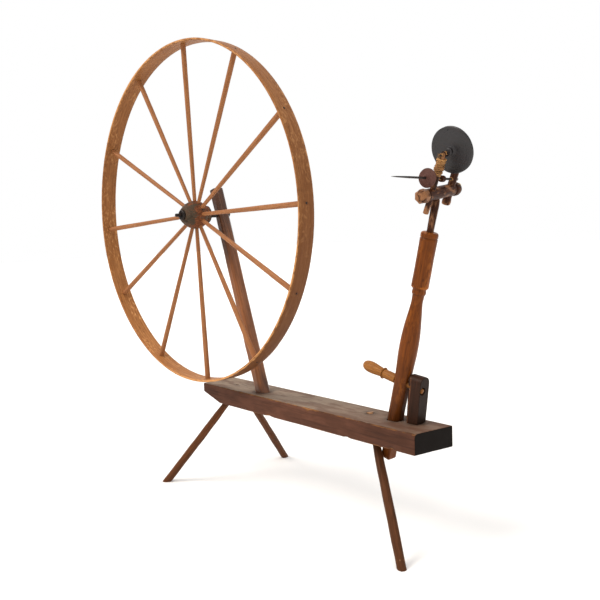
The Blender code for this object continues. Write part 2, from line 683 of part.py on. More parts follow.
def make_upright(name, numbers, stock):
    at, radius, foot, top = numbers
    place = Matrix.Translation((0, at, 0))
    profile = [
        (top, 0),
        (top, radius * 0.7),
        (top - 0.003, radius),
        (foot + 0.003, radius),
        (foot, radius * 0.85),
        (foot, 0),
    ]
    made = turned(name, profile, HEAD_AXIS, HEAD_WOOD, place, steps=24)
    hole = rod(name + "_hole", radius + GAP, -0.06, 0.06, HEAD_AXIS, place=place, steps=24)
    combine(stock, hole)
    return made


def make_shaft_bearings(name, axis, rises, front_upright, back_upright):
    """A lined hole for the shaft in each upright."""
    hole = rod(name + "_holes", BUSH_RADIUS + GAP, -0.03, 0.13, axis, steps=SMALL_STEPS)
    for end, piece, numbers in (("front", front_upright, FRONT_UPRIGHT), ("back", back_upright, BACK_UPRIGHT)):
        combine(piece, hole)
        middle = 0 if end == "front" else bearing_distance(rises)
        half = numbers[1] + BUSH_PROUD
        turned(
            f"{name}_bush_{end}",
            [(middle + half, BUSH_RADIUS), (middle - half, BUSH_RADIUS)],
            axis,
            HUSK,
            bore=SHAFT_RADIUS + GAP,
            steps=SMALL_STEPS,
        )


def make_husk_wrap():
    low, high, radius = WRAP
    place = Matrix.Translation((0, FRONT_UPRIGHT[0], 0))
    profile = [(high, radius - 0.001), (high - 0.002, radius), (low + 0.002, radius), (low, radius - 0.001)]
    turned("husk_wrap", profile, HEAD_AXIS, HUSK, place, bore=FRONT_UPRIGHT[1] + GAP, steps=24)


def make_spindle():
    bore = SHAFT_RADIUS + GAP
    profile = [
        (SPINDLE_BACK, 0),
        (SPINDLE_BACK, SHAFT_RADIUS * 0.6),
        (SPINDLE_BACK - 0.012, SHAFT_RADIUS),
        (-0.055, SHAFT_RADIUS),
        (-0.110, SHAFT_RADIUS * 0.85),
        (SPINDLE_FRONT + 0.020, SHAFT_RADIUS * 0.5),
        (SPINDLE_FRONT, 0),
    ]
    turned("spindle", profile, SPINDLE_AXIS, IRON, steps=SMALL_STEPS)
    back = -FRONT_UPRIGHT[1] - BUSH_PROUD - 2 * LOOSE
    stop = [
        (back, 0.0080),
        (back - 0.012, 0.0095),
        (back - 0.026, STOP_DISC_RADIUS - 0.004),
        (back - 0.029, STOP_DISC_RADIUS),
        (back - 0.032, STOP_DISC_RADIUS),
        (back - 0.037, STOP_DISC_RADIUS * 0.55),
        (back - 0.042, 0.0058),
    ]
    turned("stop_disc", stop, SPINDLE_AXIS, STOP_PAINT, bore=bore)
    low, high, radius = SPINDLE_PULLEY
    middle = (low + high) / 2
    pulley = [(high, radius), (middle + 0.002, radius), (middle, radius - 0.0025), (middle - 0.002, radius), (low, radius)]
    turned("spindle_pulley", pulley, SPINDLE_AXIS, HEAD_WOOD, bore=bore, steps=24)


def make_accelerator():
    bore = SHAFT_RADIUS + GAP
    far = bearing_distance(ACCELERATOR_RISE) + BACK_UPRIGHT[1] + 0.008
    near = -FRONT_UPRIGHT[1] - 0.004
    profile = [(far, 0), (far, SHAFT_RADIUS), (near + 0.001, SHAFT_RADIUS), (near, SHAFT_RADIUS * 0.7), (near, 0)]
    turned("accelerator_axle", profile, ACCELERATOR_AXIS, IRON, steps=SMALL_STEPS)
    rim, middle = ACCELERATOR_RADIUS, ACCELERATOR_AT
    disc = [
        (middle + 0.008, 0.0120),
        (middle + 0.005, 0.0140),
        (middle + 0.0035, rim - 0.0010),
        (middle + 0.0025, rim),
        (middle, rim - 0.0022),
        (middle - 0.0025, rim),
        (middle - 0.0035, rim - 0.0010),
        (middle - 0.0085, 0.0150),
        (middle - 0.0100, 0.0090),
    ]
    turned("accelerator_disc", disc, ACCELERATOR_AXIS, DISC_PAINT, bore=bore, steps=48)
    low, high, radius = ACCELERATOR_PULLEY
    pulley_middle = (low + high) / 2
    pulley = [
        (high, radius),
        (pulley_middle + 0.003, radius),
        (pulley_middle, radius - 0.003),
        (pulley_middle - 0.003, radius),
        (low, radius),
    ]
    turned("accelerator_pulley", pulley, ACCELERATOR_AXIS, DISC_PAINT, bore=bore, steps=24)


def make_head():
    stock = make_stem_and_stock()
    front_upright = make_upright("front_upright", FRONT_UPRIGHT, stock)
    back_upright = make_upright("back_upright", BACK_UPRIGHT, stock)
    make_shaft_bearings("spindle", SPINDLE_AXIS, SPINDLE_RISE, front_upright, back_upright)
    make_shaft_bearings("accelerator", ACCELERATOR_AXIS, ACCELERATOR_RISE, front_upright, back_upright)
    make_husk_wrap()
    make_spindle()
    make_accelerator()


# A through leg is cut off level with the bench's top.
BENCH_TOP_CUT = block("bench_top_cut", (-1, -1, BENCH_HEIGHT), (2, 1, BENCH_HEIGHT + 0.1), FRAME)

make_rim()
make_spokes()
make_nails()
make_hub()
make_axle()
the_bench = make_bench()
make_legs(the_bench)
make_wheel_post(the_bench)
make_spindle_post(the_bench)
make_tension_block(the_bench)
make_tension_screw()
make_head()
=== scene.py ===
"""The great wheel's looks: shaved, turned and painted wood, husk and hand-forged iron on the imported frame."""

import math
import random

import bmesh
import bpy
from mathutils import Euler, Matrix, Vector, noise


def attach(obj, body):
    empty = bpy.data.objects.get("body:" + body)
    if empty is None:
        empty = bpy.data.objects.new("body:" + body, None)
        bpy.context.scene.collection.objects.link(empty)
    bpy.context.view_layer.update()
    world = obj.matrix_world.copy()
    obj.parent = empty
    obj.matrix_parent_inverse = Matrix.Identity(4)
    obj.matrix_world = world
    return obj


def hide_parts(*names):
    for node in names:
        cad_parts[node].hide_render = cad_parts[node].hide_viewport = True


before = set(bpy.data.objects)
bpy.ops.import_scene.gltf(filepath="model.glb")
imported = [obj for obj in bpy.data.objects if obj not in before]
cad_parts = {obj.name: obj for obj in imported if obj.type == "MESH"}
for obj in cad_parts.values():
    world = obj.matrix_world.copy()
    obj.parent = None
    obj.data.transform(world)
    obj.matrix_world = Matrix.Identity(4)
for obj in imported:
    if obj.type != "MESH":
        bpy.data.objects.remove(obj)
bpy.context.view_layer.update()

# ---- where the pieces are, as in the part's source (metres, degrees) ----
WHEEL_RADIUS = 0.57
RIM_WIDTH = 0.060
RIM_THICKNESS = 0.007
SPOKE_ANGLES = (1.5, 30.5, 60.5, 89.5, 120, 152.5, 184, 211, 245, 275, 304, 334.5)
SPOKE_SOCKET = 0.034
SPOKE_DISH = 0.018
BENCH_HEIGHT = 0.36
BENCH_THICKNESS = 0.060
BENCH_WIDTH = 0.132
BENCH_LEFT, BENCH_RIGHT = -0.055, 0.924
POST_TOP = 0.57093
POST_FOOT = 0.03093
STOCK_HEIGHT = 0.67383
FRONT_AT, BACK_AT = -0.029, 0.0618
SPINDLE_RISE = (0.0430, 0.0300)
ACCELERATOR_RISE = (0.1060, 0.1250)
POST_RAKE = 14.1
BENCH_END_SKEW = 11
AXLE_BORE = 0.0064
SHAFT_BORE = 0.0033
BUSH_BORE = 0.0053
POST_RADIUS = 0.0236


def shifted(x=0.0, y=0.0, z=0.0):
    return Matrix.Translation((x, y, z))


def turned_by(angle, axis):
    return Matrix.Rotation(math.radians(angle), 4, axis)


FRAME = shifted(-0.237, -0.151)
WHEEL = FRAME @ shifted(z=0.96) @ turned_by(-90, "X")
POST = FRAME @ shifted(0.772465, 0.115, 0.33) @ turned_by(POST_RAKE, "Y")
SCREW = POST @ shifted(z=0.1455) @ turned_by(90, "Y")
HEAD_TURN = Euler([math.radians(angle) for angle in (6.3, 10.3, 7.0)])
HEAD = POST @ shifted(z=STOCK_HEIGHT) @ HEAD_TURN.to_matrix().to_4x4()
BLOCK = FRAME @ shifted(0.8435, 0.123, BENCH_HEIGHT) @ turned_by(7.8, "Y")
BENCH_MIDDLE = (BENCH_LEFT + BENCH_RIGHT) / 2
BENCH = FRAME @ shifted(BENCH_MIDDLE, 0.110) @ turned_by(-1.2, "Z") @ shifted(-BENCH_MIDDLE)
ALONG_Y = turned_by(-90, "X")


def shaft_reach(rises):
    """How far a shaft runs between its two bearings."""
    return math.hypot(BACK_AT - FRONT_AT, rises[1] - rises[0])


def shaft_place(rises):
    """From a shaft's front bearing, Z running to the back one."""
    tilt = math.degrees(math.atan2(rises[1] - rises[0], BACK_AT - FRONT_AT))
    return HEAD @ shifted(0, FRONT_AT, rises[0]) @ turned_by(tilt - 90, "X")


SPINDLE = shaft_place(SPINDLE_RISE)
ACCELERATOR = shaft_place(ACCELERATOR_RISE)


# ---- materials ----
def linear(hex_colour):
    """A #RRGGBB colour as linear red, green, blue and alpha."""
    channels = [int(hex_colour[i : i + 2], 16) / 255 for i in (1, 3, 5)]
    return [c / 12.92 if c <= 0.04045 else ((c + 0.055) / 1.055) ** 2.4 for c in channels] + [1.0]


# The settings that these finishes use most: node, inputs in order, settings. A ramp is 0 below its first limit and
# 1 above its second, and between stretches a 0 to 1 pattern to run from one number to the other.
USUAL = {
    "ramp": ("ShaderNodeMapRange", ("Value", "From Min", "From Max"), {"interpolation_type": "SMOOTHSTEP"}),
    "between": ("ShaderNodeMapRange", ("Value", "To Min", "To Max"), {}),
    "add": ("ShaderNodeMath", (0, 1), {"operation": "ADD", "use_clamp": True}),
    "subtract": ("ShaderNodeMath", (0, 1), {"operation": "SUBTRACT", "use_clamp": True}),
    "multiply": ("ShaderNodeMath", (0, 1), {"operation": "MULTIPLY", "use_clamp": True}),
    "mix": ("ShaderNodeMix", (0, 6, 7), {"data_type": "RGBA"}),
}


def feed(tree, made, inputs):
    """Give a node its inputs: each is a value, a #RRGGBB colour, or a socket or node to link from."""
    for key, value in inputs.items():
        if isinstance(value, bpy.types.Node):
            value = next(socket for socket in value.outputs if socket.enabled)
        if isinstance(value, bpy.types.NodeSocket):
            tree.links.new(value, made.inputs[key])
        else:
            is_colour = isinstance(value, str) and value.startswith("#")
            made.inputs[key].default_value = linear(value) if is_colour else value


def node(tree, kind, inputs=None, **settings):
    """Add a node with its settings and inputs; one of the usual kinds takes its inputs in order."""
    kind, order, usual = USUAL.get(kind, (kind, (), {}))
    made = tree.nodes.new(kind)
    for name, value in {**usual, **settings}.items():
        setattr(made, name, value)
    feed(tree, made, dict(zip(order, inputs)) if order else inputs or {})
    return made


def stretched_noise(tree, coords, across_mm, along_mm, detail=3.0, offset=0.0):
    """Noise whose spots are across_mm wide and along_mm long on the grain's Z."""
    scale = (1000 / across_mm, 1000 / across_mm, 1000 / along_mm)
    placed = node(
        tree, "ShaderNodeMapping", {"Vector": coords, "Scale": scale, "Location": (offset, offset, offset)}
    ).outputs[0]
    look = {"Vector": placed, "Scale": 1.0, "Detail": detail, "Roughness": 0.6}
    return node(tree, "ShaderNodeTexNoise", look, noise_dimensions="3D").outputs["Fac"]


def growth_rings(tree, coords, ring_mm, wander):
    """The year rings of the log, as rings round the grain's Z that wander a little."""
    scale = (1.0, 1.0, 0.06)
    placed = node(tree, "ShaderNodeMapping", {"Vector": coords, "Scale": scale}).outputs[0]
    look = {
        "Vector": placed,
        "Scale": 314.0 / ring_mm,
        "Distortion": wander,
        "Detail": 2.0,
        "Detail Scale": 1.4,
        "Detail Roughness": 0.6,
    }
    settings = {"wave_type": "RINGS", "rings_direction": "Z", "wave_profile": "SIN"}
    return node(tree, "ShaderNodeTexWave", look, **settings).outputs["Fac"]


def new_material(name):
    made = bpy.data.materials.new(name)
    made.use_nodes = True
    return made, made.node_tree, made.node_tree.nodes["Principled BSDF"]


def grain_coords(tree, from_object=False):
    """The grain runs along Z: the piece's own attribute, or the object's X turned upright."""
    if not from_object:
        return node(tree, "ShaderNodeAttribute", attribute_name="grain").outputs["Vector"]
    place = node(tree, "ShaderNodeTexCoord").outputs["Object"]
    return node(tree, "ShaderNodeMapping", {"Vector": place, "Rotation": (0, math.radians(-90), 0)}).outputs[0]


def wood_colour(tree, coords, light, dark, deep, ring_mm, streak_mm, ring_share):
    """Bare wood: year rings, long streaks, dark pores and slow changes of tone along the board.

    Also returns the streaks, which the roughness and the bump follow.
    """
    rings = growth_rings(tree, coords, ring_mm, 5.0)
    streaks = stretched_noise(tree, coords, streak_mm, streak_mm * 28)
    slow = stretched_noise(tree, coords, 45, 240, 2.0, 3.1)
    # Real pores are a tenth of a millimetre wide; these are drawn at 2 mm, so that the camera can hold them.
    pores = stretched_noise(tree, coords, 2.0, 26, 2.0, 7.7)
    body = node(tree, "mix", (node(tree, "ramp", (streaks, 0.34, 0.68)), light, dark))
    ringed = node(tree, "mix", (node(tree, "multiply", (rings, ring_share)), body, dark))
    toned = node(tree, "mix", (node(tree, "multiply", (node(tree, "ramp", (slow, 0.42, 0.72)), 0.6)), ringed, dark))
    specked = node(tree, "mix", (node(tree, "multiply", (node(tree, "ramp", (pores, 0.55, 0.70)), 0.6)), toned, deep))
    # The dirt marks darken towards the deep colour; on the tension block's +X face and the right leg this is painted
    # shade.
    dirt_and_shade = node(tree, "ShaderNodeAttribute", attribute_name="dirt_and_shade").outputs["Fac"]
    return node(tree, "mix", (node(tree, "multiply", (dirt_and_shade, 0.85)), specked, deep)), streaks


def set_bump(tree, shader, height, strength, depth_mm):
    inputs = {"Height": height, "Strength": strength, "Distance": depth_mm / 1000}
    feed(tree, shader, {"Normal": node(tree, "ShaderNodeBump", inputs)})


def set_surface(tree, shader, colour, roughness, gloss=0.12, coat=0.0):
    """Link a colour and a roughness, and set the gloss that wood, paint and husk share."""
    feed(tree, shader, {"Base Color": colour, "Roughness": roughness, "IOR": 1.5, "Specular IOR Level": gloss,
                        "Coat Weight": coat, "Coat Roughness": 0.3})


def oiled_wood(name, light, dark, deep, ring_mm=7.0, streak_mm=2.6, ring_share=0.45, rough=(0.42, 0.62), coat=0.0,
               worn_and_highlight=None, flecks=None, aged_and_shade=None):
    """Bare wood, darkened with oil and hands. Worn marks show worn wood, and on the wheel post's chamfer edges painted
    highlight lines too; aged marks show the weathered side, and on the rim painted shade too.
    """
    made, tree, shader = new_material(name)
    coords = grain_coords(tree)
    colour, streaks = wood_colour(tree, coords, light, dark, deep, ring_mm, streak_mm, ring_share)
    tone = node(tree, "between", (node(tree, "ShaderNodeAttribute", attribute_name="seed").outputs["Fac"], 0.0, 0.22))
    colour = node(tree, "mix", (tone, colour, dark))
    if flecks:
        # Ray flecks: short wavy bands, 7 mm by 17 mm, in patches of the quartersawn face.
        wavy = stretched_noise(tree, coords, 40, 60, 1.0, 1.7)
        shift = node(tree, "ShaderNodeCombineXYZ", {"X": node(tree, "multiply", (wavy, 0.05))}).outputs[0]
        bent = node(tree, "ShaderNodeVectorMath", {0: coords, 1: shift}, operation="ADD").outputs[0]
        rays = stretched_noise(tree, bent, 7, 17, 1.0, 5.3)
        where = node(tree, "ramp", (stretched_noise(tree, coords, 60, 130, 1.0, 8.8), 0.40, 0.62))
        share = node(tree, "multiply", (node(tree, "ramp", (rays, 0.52, 0.66)), node(tree, "multiply", (where, 0.6))))
        colour = node(tree, "mix", (share, colour, flecks))
    if aged_and_shade:
        weathering_and_shade = node(tree, "ShaderNodeAttribute", attribute_name="aged_and_shade").outputs["Fac"]
        colour = node(tree, "mix", (node(tree, "multiply", (weathering_and_shade, 0.7)), colour, aged_and_shade))
    if worn_and_highlight:
        blot = node(tree, "ramp", (stretched_noise(tree, coords, 7, 22, 3.0, 2.2), 0.35, 0.6))
        wear_and_highlight = node(tree, "ShaderNodeAttribute", attribute_name="wear_and_highlight").outputs["Fac"]
        rubbed_and_highlit = node(tree, "add", (wear_and_highlight, node(tree, "multiply", (blot, 0.35))))
        colour = node(tree, "mix", (node(tree, "ramp", (rubbed_and_highlit, 0.5, 1.0)), colour, worn_and_highlight))
    set_surface(tree, shader, colour, node(tree, "between", (streaks, rough[0], rough[1])), coat=coat)
    set_bump(tree, shader, streaks, 0.3, 0.5)
    return made


def worn_paint(name, paint, paint_light, under, under_dark, wear_from, rough=(0.5, 0.75), from_object=False,
               faces=None, ring_mm=7.0, gloss=0.1):
    """Old paint rubbed through to the wood on edges and in patches. faces: colours of the top and the +X end; the end's
    near black is dark end grain plus painted shade for the side turned from the light.
    """
    made, tree, shader = new_material(name)
    coords = grain_coords(tree, from_object)
    bare, streaks = wood_colour(tree, coords, under, under_dark, under_dark, ring_mm, 2.4, 0.4)
    clouds = stretched_noise(tree, coords, 30, 90, 4.0, 4.4)
    coat = node(tree, "mix", (node(tree, "ramp", (clouds, 0.35, 0.65)), paint, paint_light))
    long_streaks = stretched_noise(tree, coords, 6, 210, 3.0, 6.6)
    streaked = node(tree, "multiply", (node(tree, "ramp", (long_streaks, 0.5, 0.72)), 0.6))
    coat = node(tree, "mix", (streaked, coat, under_dark))
    aged_and_shade = node(tree, "ShaderNodeAttribute", attribute_name="aged_and_shade").outputs["Fac"]
    coat = node(tree, "mix", (node(tree, "multiply", (aged_and_shade, 0.6)), coat, under_dark))
    if faces:
        facing = node(tree, "ShaderNodeNewGeometry").outputs["Normal"]
        parts = node(tree, "ShaderNodeSeparateXYZ", {0: facing}).outputs
        top, top_light, end = faces
        bleached = node(tree, "mix", (node(tree, "ramp", (streaks, 0.35, 0.62)), top, top_light))
        dirty = node(tree, "ramp", (stretched_noise(tree, coords, 40, 120, 4.0, 9.2), 0.46, 0.62))
        bleached = node(tree, "mix", (node(tree, "multiply", (dirty, 0.55)), bleached, paint))
        bleached = node(tree, "mix", (aged_and_shade, bleached, paint))
        coat = node(tree, "mix", (node(tree, "ramp", (parts["Z"], 0.6, 0.85)), coat, bleached))
        # The +X end's near black is partly painted shade for the side turned away from the light.
        coat = node(tree, "mix", (node(tree, "ramp", (parts["X"], 0.6, 0.85)), coat, end))
    fine = stretched_noise(tree, coords, 5, 14, 5.0, 6.1)
    wear_and_highlight = node(tree, "ShaderNodeAttribute", attribute_name="wear_and_highlight").outputs["Fac"]
    spots = node(tree, "add", (wear_and_highlight, node(tree, "multiply", (fine, 0.9))))
    gone = node(tree, "ramp", (spots, wear_from, wear_from + 0.12))
    colour = node(tree, "mix", (gone, coat, bare))
    dirt_and_shade = node(tree, "ShaderNodeAttribute", attribute_name="dirt_and_shade").outputs["Fac"]
    colour = node(tree, "mix", (dirt_and_shade, colour, "#140E0A"))
    set_surface(tree, shader, colour, node(tree, "between", (clouds, rough[0], rough[1])), gloss=gloss)
    raised, sunk = node(tree, "multiply", (streaks, 0.6)), node(tree, "multiply", (gone, 0.4))
    set_bump(tree, shader, node(tree, "subtract", (raised, sunk)), 0.4, 0.8)
    return made


def forged_iron(name, colour, rust):
    """Hammered iron, near black, with thin brown rust in its hollows."""
    made, tree, shader = new_material(name)
    place = node(tree, "ShaderNodeTexCoord").outputs["Object"]
    dents = stretched_noise(tree, place, 5, 5, 3.0)
    rusty = node(tree, "ramp", (stretched_noise(tree, place, 9, 9, 4.0, 3.3), 0.5, 0.7))
    bloom = node(tree, "mix", (node(tree, "multiply", (rusty, 0.6)), colour, rust))
    feed(tree, shader, {"Base Color": bloom, "Roughness": node(tree, "between", (rusty, 0.42, 0.8)), "Metallic": 0.75})
    set_bump(tree, shader, dents, 0.4, 0.6)
    return made


def dry_husk(name):
    """Twisted maize husk: papery, ribbed along each strip, straw to brown."""
    made, tree, shader = new_material(name)
    coords = grain_coords(tree)
    ribs = stretched_noise(tree, coords, 0.9, 20, 2.0)
    patches = stretched_noise(tree, coords, 6, 9, 3.0, 2.9)
    straw = node(tree, "mix", (node(tree, "ramp", (ribs, 0.35, 0.65)), "#7C5228", "#CB9A5C"))
    browner = node(tree, "ShaderNodeAttribute", attribute_name="seed").outputs["Fac"]
    straw = node(tree, "mix", (node(tree, "multiply", (browner, 0.7)), straw, "#7A4C26"))
    browned = node(tree, "multiply", (node(tree, "ramp", (patches, 0.42, 0.66)), 0.75))
    colour = node(tree, "mix", (browned, straw, "#4A2E18"))
    set_surface(tree, shader, colour, node(tree, "between", (ribs, 0.6, 0.85)), gloss=0.35)
    set_bump(tree, shader, ribs, 0.6, 0.5)
    return made


# Riven, steamed and bent: straight grain with pale ray flecks on the broad faces, browner where the outer face has
# aged, and painted shade that darkens the outer face towards the bottom and the inner face at the upper left.
RIM_OAK = oiled_wood("Bent quartersawn oak", "#B67D4A", "#935E32", "#553319", ring_mm=9, streak_mm=5.0,
                     flecks="#D89D64", aged_and_shade="#58331C", worn_and_highlight="#C68E58", rough=(0.42, 0.6))
# Shaved by hand: low flats, straight grain and a dry, dull sheen.
SPOKE_OAK = oiled_wood("Shaved white oak", "#AD774D", "#8C5A37", "#613B23", ring_mm=6, streak_mm=4.0,
                       rough=(0.42, 0.58))
# Turned and handled for years: red-brown, close grain and a soft gloss where hands have worn it paler.
POST_CHERRY = oiled_wood("Turned cherry", "#773E11", "#5C2E0D", "#2D1605", ring_mm=12, streak_mm=5.0, ring_share=0.3,
                         worn_and_highlight="#92521B", rough=(0.3, 0.48))
# Planed, chamfered and oiled: warm brown below, and a black, glossy crust from hands and grease above; its pale chamfer
# edges are worn and also carry painted highlight lines.
WHEEL_POST_WOOD = oiled_wood("Oiled oak, black with handling", "#955E38", "#704426", "#331D12", ring_mm=8,
                             streak_mm=6.0, aged_and_shade="#191211", worn_and_highlight="#B57E53", rough=(0.26, 0.42), coat=0.5)
# Sawn and stained: nearly black, with brown wood showing on its edges.
BLOCK_WOOD = oiled_wood("Dark-stained oak", "#3A2015", "#2A180D", "#130B05", ring_mm=7, streak_mm=5.0,
                        worn_and_highlight="#6D452C", rough=(0.4, 0.55))
# Shaved and stained: low flats, dull red-brown, paler where a foot or floor has rubbed it.
LEG_WOOD = oiled_wood("Shaved stained hickory", "#6C3F22", "#512E16", "#2C180A", ring_mm=6, streak_mm=5.0,
                      worn_and_highlight="#96704F", rough=(0.42, 0.6))
# Turned: close rings that show as curved lines on the egg, yellow-brown and satin.
HANDLE_MAPLE = oiled_wood("Turned maple", "#AF763B", "#815124", "#4F2E13", ring_mm=3.4, streak_mm=3.0,
                          ring_share=0.75, worn_and_highlight="#C28F50", rough=(0.36, 0.5))
# Shaved and stained: patches of dark stain over wood that hands have worn light.
HEAD_MAPLE = oiled_wood("Stained maple", "#49230A", "#2D1305", "#150702", ring_mm=5, streak_mm=4.0,
                        worn_and_highlight="#8A5F40", rough=(0.36, 0.55))
# Brushed: thin red-brown paint, bleached grey on top and lost on its edges, with a nearly black sawn end: dark end
# grain, plus painted shade for the end turned from the light.
BENCH_PAINT = worn_paint("Red-brown milk paint on pine", "#513224", "#613E2F", "#9E6B3F", "#341F16", 0.90,
                         from_object=True, faces=("#766555", "#8F7D6C", "#120D0A"), ring_mm=11)
# Brushed over turned wood: dull black, rubbed through in patches to red-brown.
HUB_PAINT = worn_paint("Black paint on turned elm", "#473C2F", "#59493B", "#8C5434", "#593522", 0.56, ring_mm=6)
# Brushed over turned wood: smooth slate black with a faint sheen.
DISC_PAINT = worn_paint("Lampblack on basswood", "#1A1819", "#211E21", "#423125", "#211712", 1.3, rough=(0.38, 0.55),
                        gloss=0.5)
# Brushed over turned wood: dusty purple-brown, worn on its rim.
STOP_PAINT = worn_paint("Maroon paint on maple", "#4A2D26", "#593D36", "#5D3D27", "#2A170F", 1.05)
# A pale patch on the stock cap's upper edge: a painted highlight standing in for the cap's glint.
CAP_GLINT_WOOD = oiled_wood("Pale maple, painted glint", "#D8C6A0", "#C2AC84", "#9A8460", streak_mm=3.0)
# Hammered and left to rust: near black, faintly dented, with a dull brown bloom.
IRON = forged_iron("Wrought iron", "#2A2624", "#4A3122")
# Wetted, twisted and wound on: dry straw ribs, brown in the folds.
HUSK = dry_husk("Maize husk")


# ---- shapes ----
def dense(profile, step):
    """A (height, radius) profile, lowest first, with its straight runs cut to at most one step."""
    made = [profile[0]]
    for (low, r_low), (high, r_high) in zip(profile, profile[1:]):
        parts = max(1, math.ceil(math.hypot(high - low, r_high - r_low) / step))
        made += [(low + (high - low) * i / parts, r_low + (r_high - r_low) * i / parts) for i in range(1, parts + 1)]
    return made


def curved(profile, parts=6):
    """A smooth Catmull-Rom curve through a profile's points."""
    ends = [profile[0]] + list(profile) + [profile[-1]]
    made = []
    for a, b, c, d in zip(ends, ends[1:], ends[2:], ends[3:]):
        for i in range(parts):
            t = i / parts
            made.append(tuple(
                0.5 * (2 * q + (r - p) * t + (2 * p - 5 * q + 4 * r - s) * t * t + (3 * q - p - 3 * r + s) * t ** 3)
                for p, q, r, s in zip(a, b, c, d)
            ))
    return made + [tuple(profile[-1])]


def lofted(rings):
    """A closed bmesh through rings of equal count, each end closed by a fan."""
    shape = bmesh.new()
    rows = [[shape.verts.new(point) for point in ring] for ring in rings]
    count = len(rings[0])
    for low, high in zip(rows, rows[1:]):
        for i in range(count):
            j = (i + 1) % count
            shape.faces.new((low[i], low[j], high[j], high[i]))
    for row, backwards in ((rows[0], True), (rows[-1], False)):
        centre = shape.verts.new(sum((v.co for v in row), Vector()) / count)
        for i in range(count):
            pair = (row[i], row[(i + 1) % count])
            shape.faces.new((*reversed(pair), centre) if backwards else (*pair, centre))
    return shape


def wobble(x, y, z, size, seed):
    return noise.noise(Vector((x, y, z)) / size + Vector((seed * 7.3, seed * 3.1, 0)))


def shaft(profile, outline=None, sides=48, uneven=0.0, seed=0, bend=0.0):
    """A turned or shaved bar up Z. outline(height, angle) scales its radius, and uneven is a hand's error in metres."""
    low, high = profile[0][0], profile[-1][0]
    rings = []
    for height, radius in profile:
        ring = []
        middle = bend * math.sin(math.pi * (height - low) / (high - low))
        for i in range(sides):
            angle = 2 * math.pi * i / sides
            reach = radius * (outline(height, angle) if outline else 1.0)
            x, y = math.cos(angle), math.sin(angle)
            if radius > uneven * 3:
                reach += uneven * wobble(x * reach, y * reach, height * 0.4, 0.018, seed)
            ring.append((x * reach + middle, y * reach, height))
        rings.append(ring)
    return lofted(rings)


def facets(count, sharp=1.0, turn=0.0):
    """A shaved bar's flats: 1 on the corners, less on the flats."""

    def outline(height, angle):
        step = 2 * math.pi / count
        near = (angle + turn) % step - step / 2
        return 1 + sharp * (math.cos(step / 2) / math.cos(near) - 1)

    return outline


def chamfered(half, chamfer, softness=18):
    """The outline, as a radius, of a square of that half-width with its corners cut off and all edges worn."""
    corner = (2 * half - chamfer) / math.sqrt(2)
    planes = [(k * math.pi / 4, half if k % 2 == 0 else corner) for k in range(8)]

    def outline(height, angle):
        total = sum(max(0.0, math.cos(angle - lie) / reach) ** softness for lie, reach in planes)
        return total ** (-1 / softness)

    return outline


def as_mesh(shape, name):
    mesh = bpy.data.meshes.new(name)
    bmesh.ops.recalc_face_normals(shape, faces=shape.faces)
    shape.to_mesh(mesh)
    shape.free()
    return mesh


def evaluated(thing):
    """The object's mesh with its modifiers applied; the object itself is removed."""
    made = bpy.data.meshes.new_from_object(thing.evaluated_get(bpy.context.evaluated_depsgraph_get()))
    bpy.data.objects.remove(thing, do_unlink=True)
    return made


def loose_object(mesh):
    made = bpy.data.objects.new(mesh.name + "_making", mesh)
    bpy.context.scene.collection.objects.link(made)
    return made


def cut(mesh, *cutters):
    """The mesh less each cutter mesh."""
    body = loose_object(mesh)
    tools = [loose_object(cutter) for cutter in cutters]
    for tool in tools:
        change = body.modifiers.new("cut", "BOOLEAN")
        change.object = tool
        change.solver = "EXACT"
    made = evaluated(body)
    for tool in tools:
        bpy.data.objects.remove(tool, do_unlink=True)
    return made


def softened(mesh, voxel, rounds=3):
    """Remeshed fine and smoothed, so that cut edges turn into worn ones."""
    body = loose_object(mesh)
    remesh = body.modifiers.new("remesh", "REMESH")
    remesh.mode = "VOXEL"
    remesh.voxel_size = voxel
    smooth = body.modifiers.new("smooth", "SMOOTH")
    smooth.iterations = rounds
    return evaluated(body)


def box_mesh(low, high, name, place=None):
    shape = bmesh.new()
    size = [h - l for l, h in zip(low, high)]
    middle = [(h + l) / 2 for l, h in zip(low, high)]
    bmesh.ops.create_cube(shape, size=1, matrix=(place or Matrix()) @ shifted(*middle) @ Matrix.Diagonal((*size, 1)))
    return as_mesh(shape, name)


def rod_mesh(radius, low, high, name, place=None, sides=24):
    shape = bmesh.new()
    bmesh.ops.create_cone(
        shape, cap_ends=True, segments=sides, radius1=radius, radius2=radius, depth=high - low,
        matrix=(place or Matrix()) @ shifted(z=(low + high) / 2),
    )
    return as_mesh(shape, name)


def store(mesh, name, values, kind="FLOAT"):
    layer = mesh.attributes.new(name, kind, "POINT")
    layer.data.foreach_set("vector" if kind == "FLOAT_VECTOR" else "value", values)


def finish_piece(mesh, name, body, nodes, material, place=None, heart=(0.04, 0.02), seed=0.0, marks=None,
                 grain=None, sharp=38):
    """Give a mesh its grain and marks in its own place, move it to the frame's, and let it ride.

    marks: attribute name to function of a vertex position. grain: position to grain coordinates.
    """
    points = [v.co.copy() for v in mesh.vertices]
    if "grain" not in mesh.attributes:
        lay = grain or (lambda p: p)
        grains = [lay(p) + Vector((*heart, seed * 3.7)) for p in points]
        store(mesh, "grain", [c for g in grains for c in g], "FLOAT_VECTOR")
        store(mesh, "seed", [(seed * 0.37) % 1.0] * len(points))
    for mark, value in (marks or {}).items():
        store(mesh, mark, [max(0.0, min(1.0, value(p))) for p in points])
    if place is not None:
        mesh.transform(place)
    mesh.name = name
    mesh.materials.clear()
    mesh.materials.append(material)
    mesh.shade_smooth()
    mesh.set_sharp_from_angle(angle=math.radians(sharp))
    made = bpy.data.objects.new(name, mesh)
    bpy.context.scene.collection.objects.link(made)
    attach(made, body)
    if nodes:
        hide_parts(*nodes)
    return made


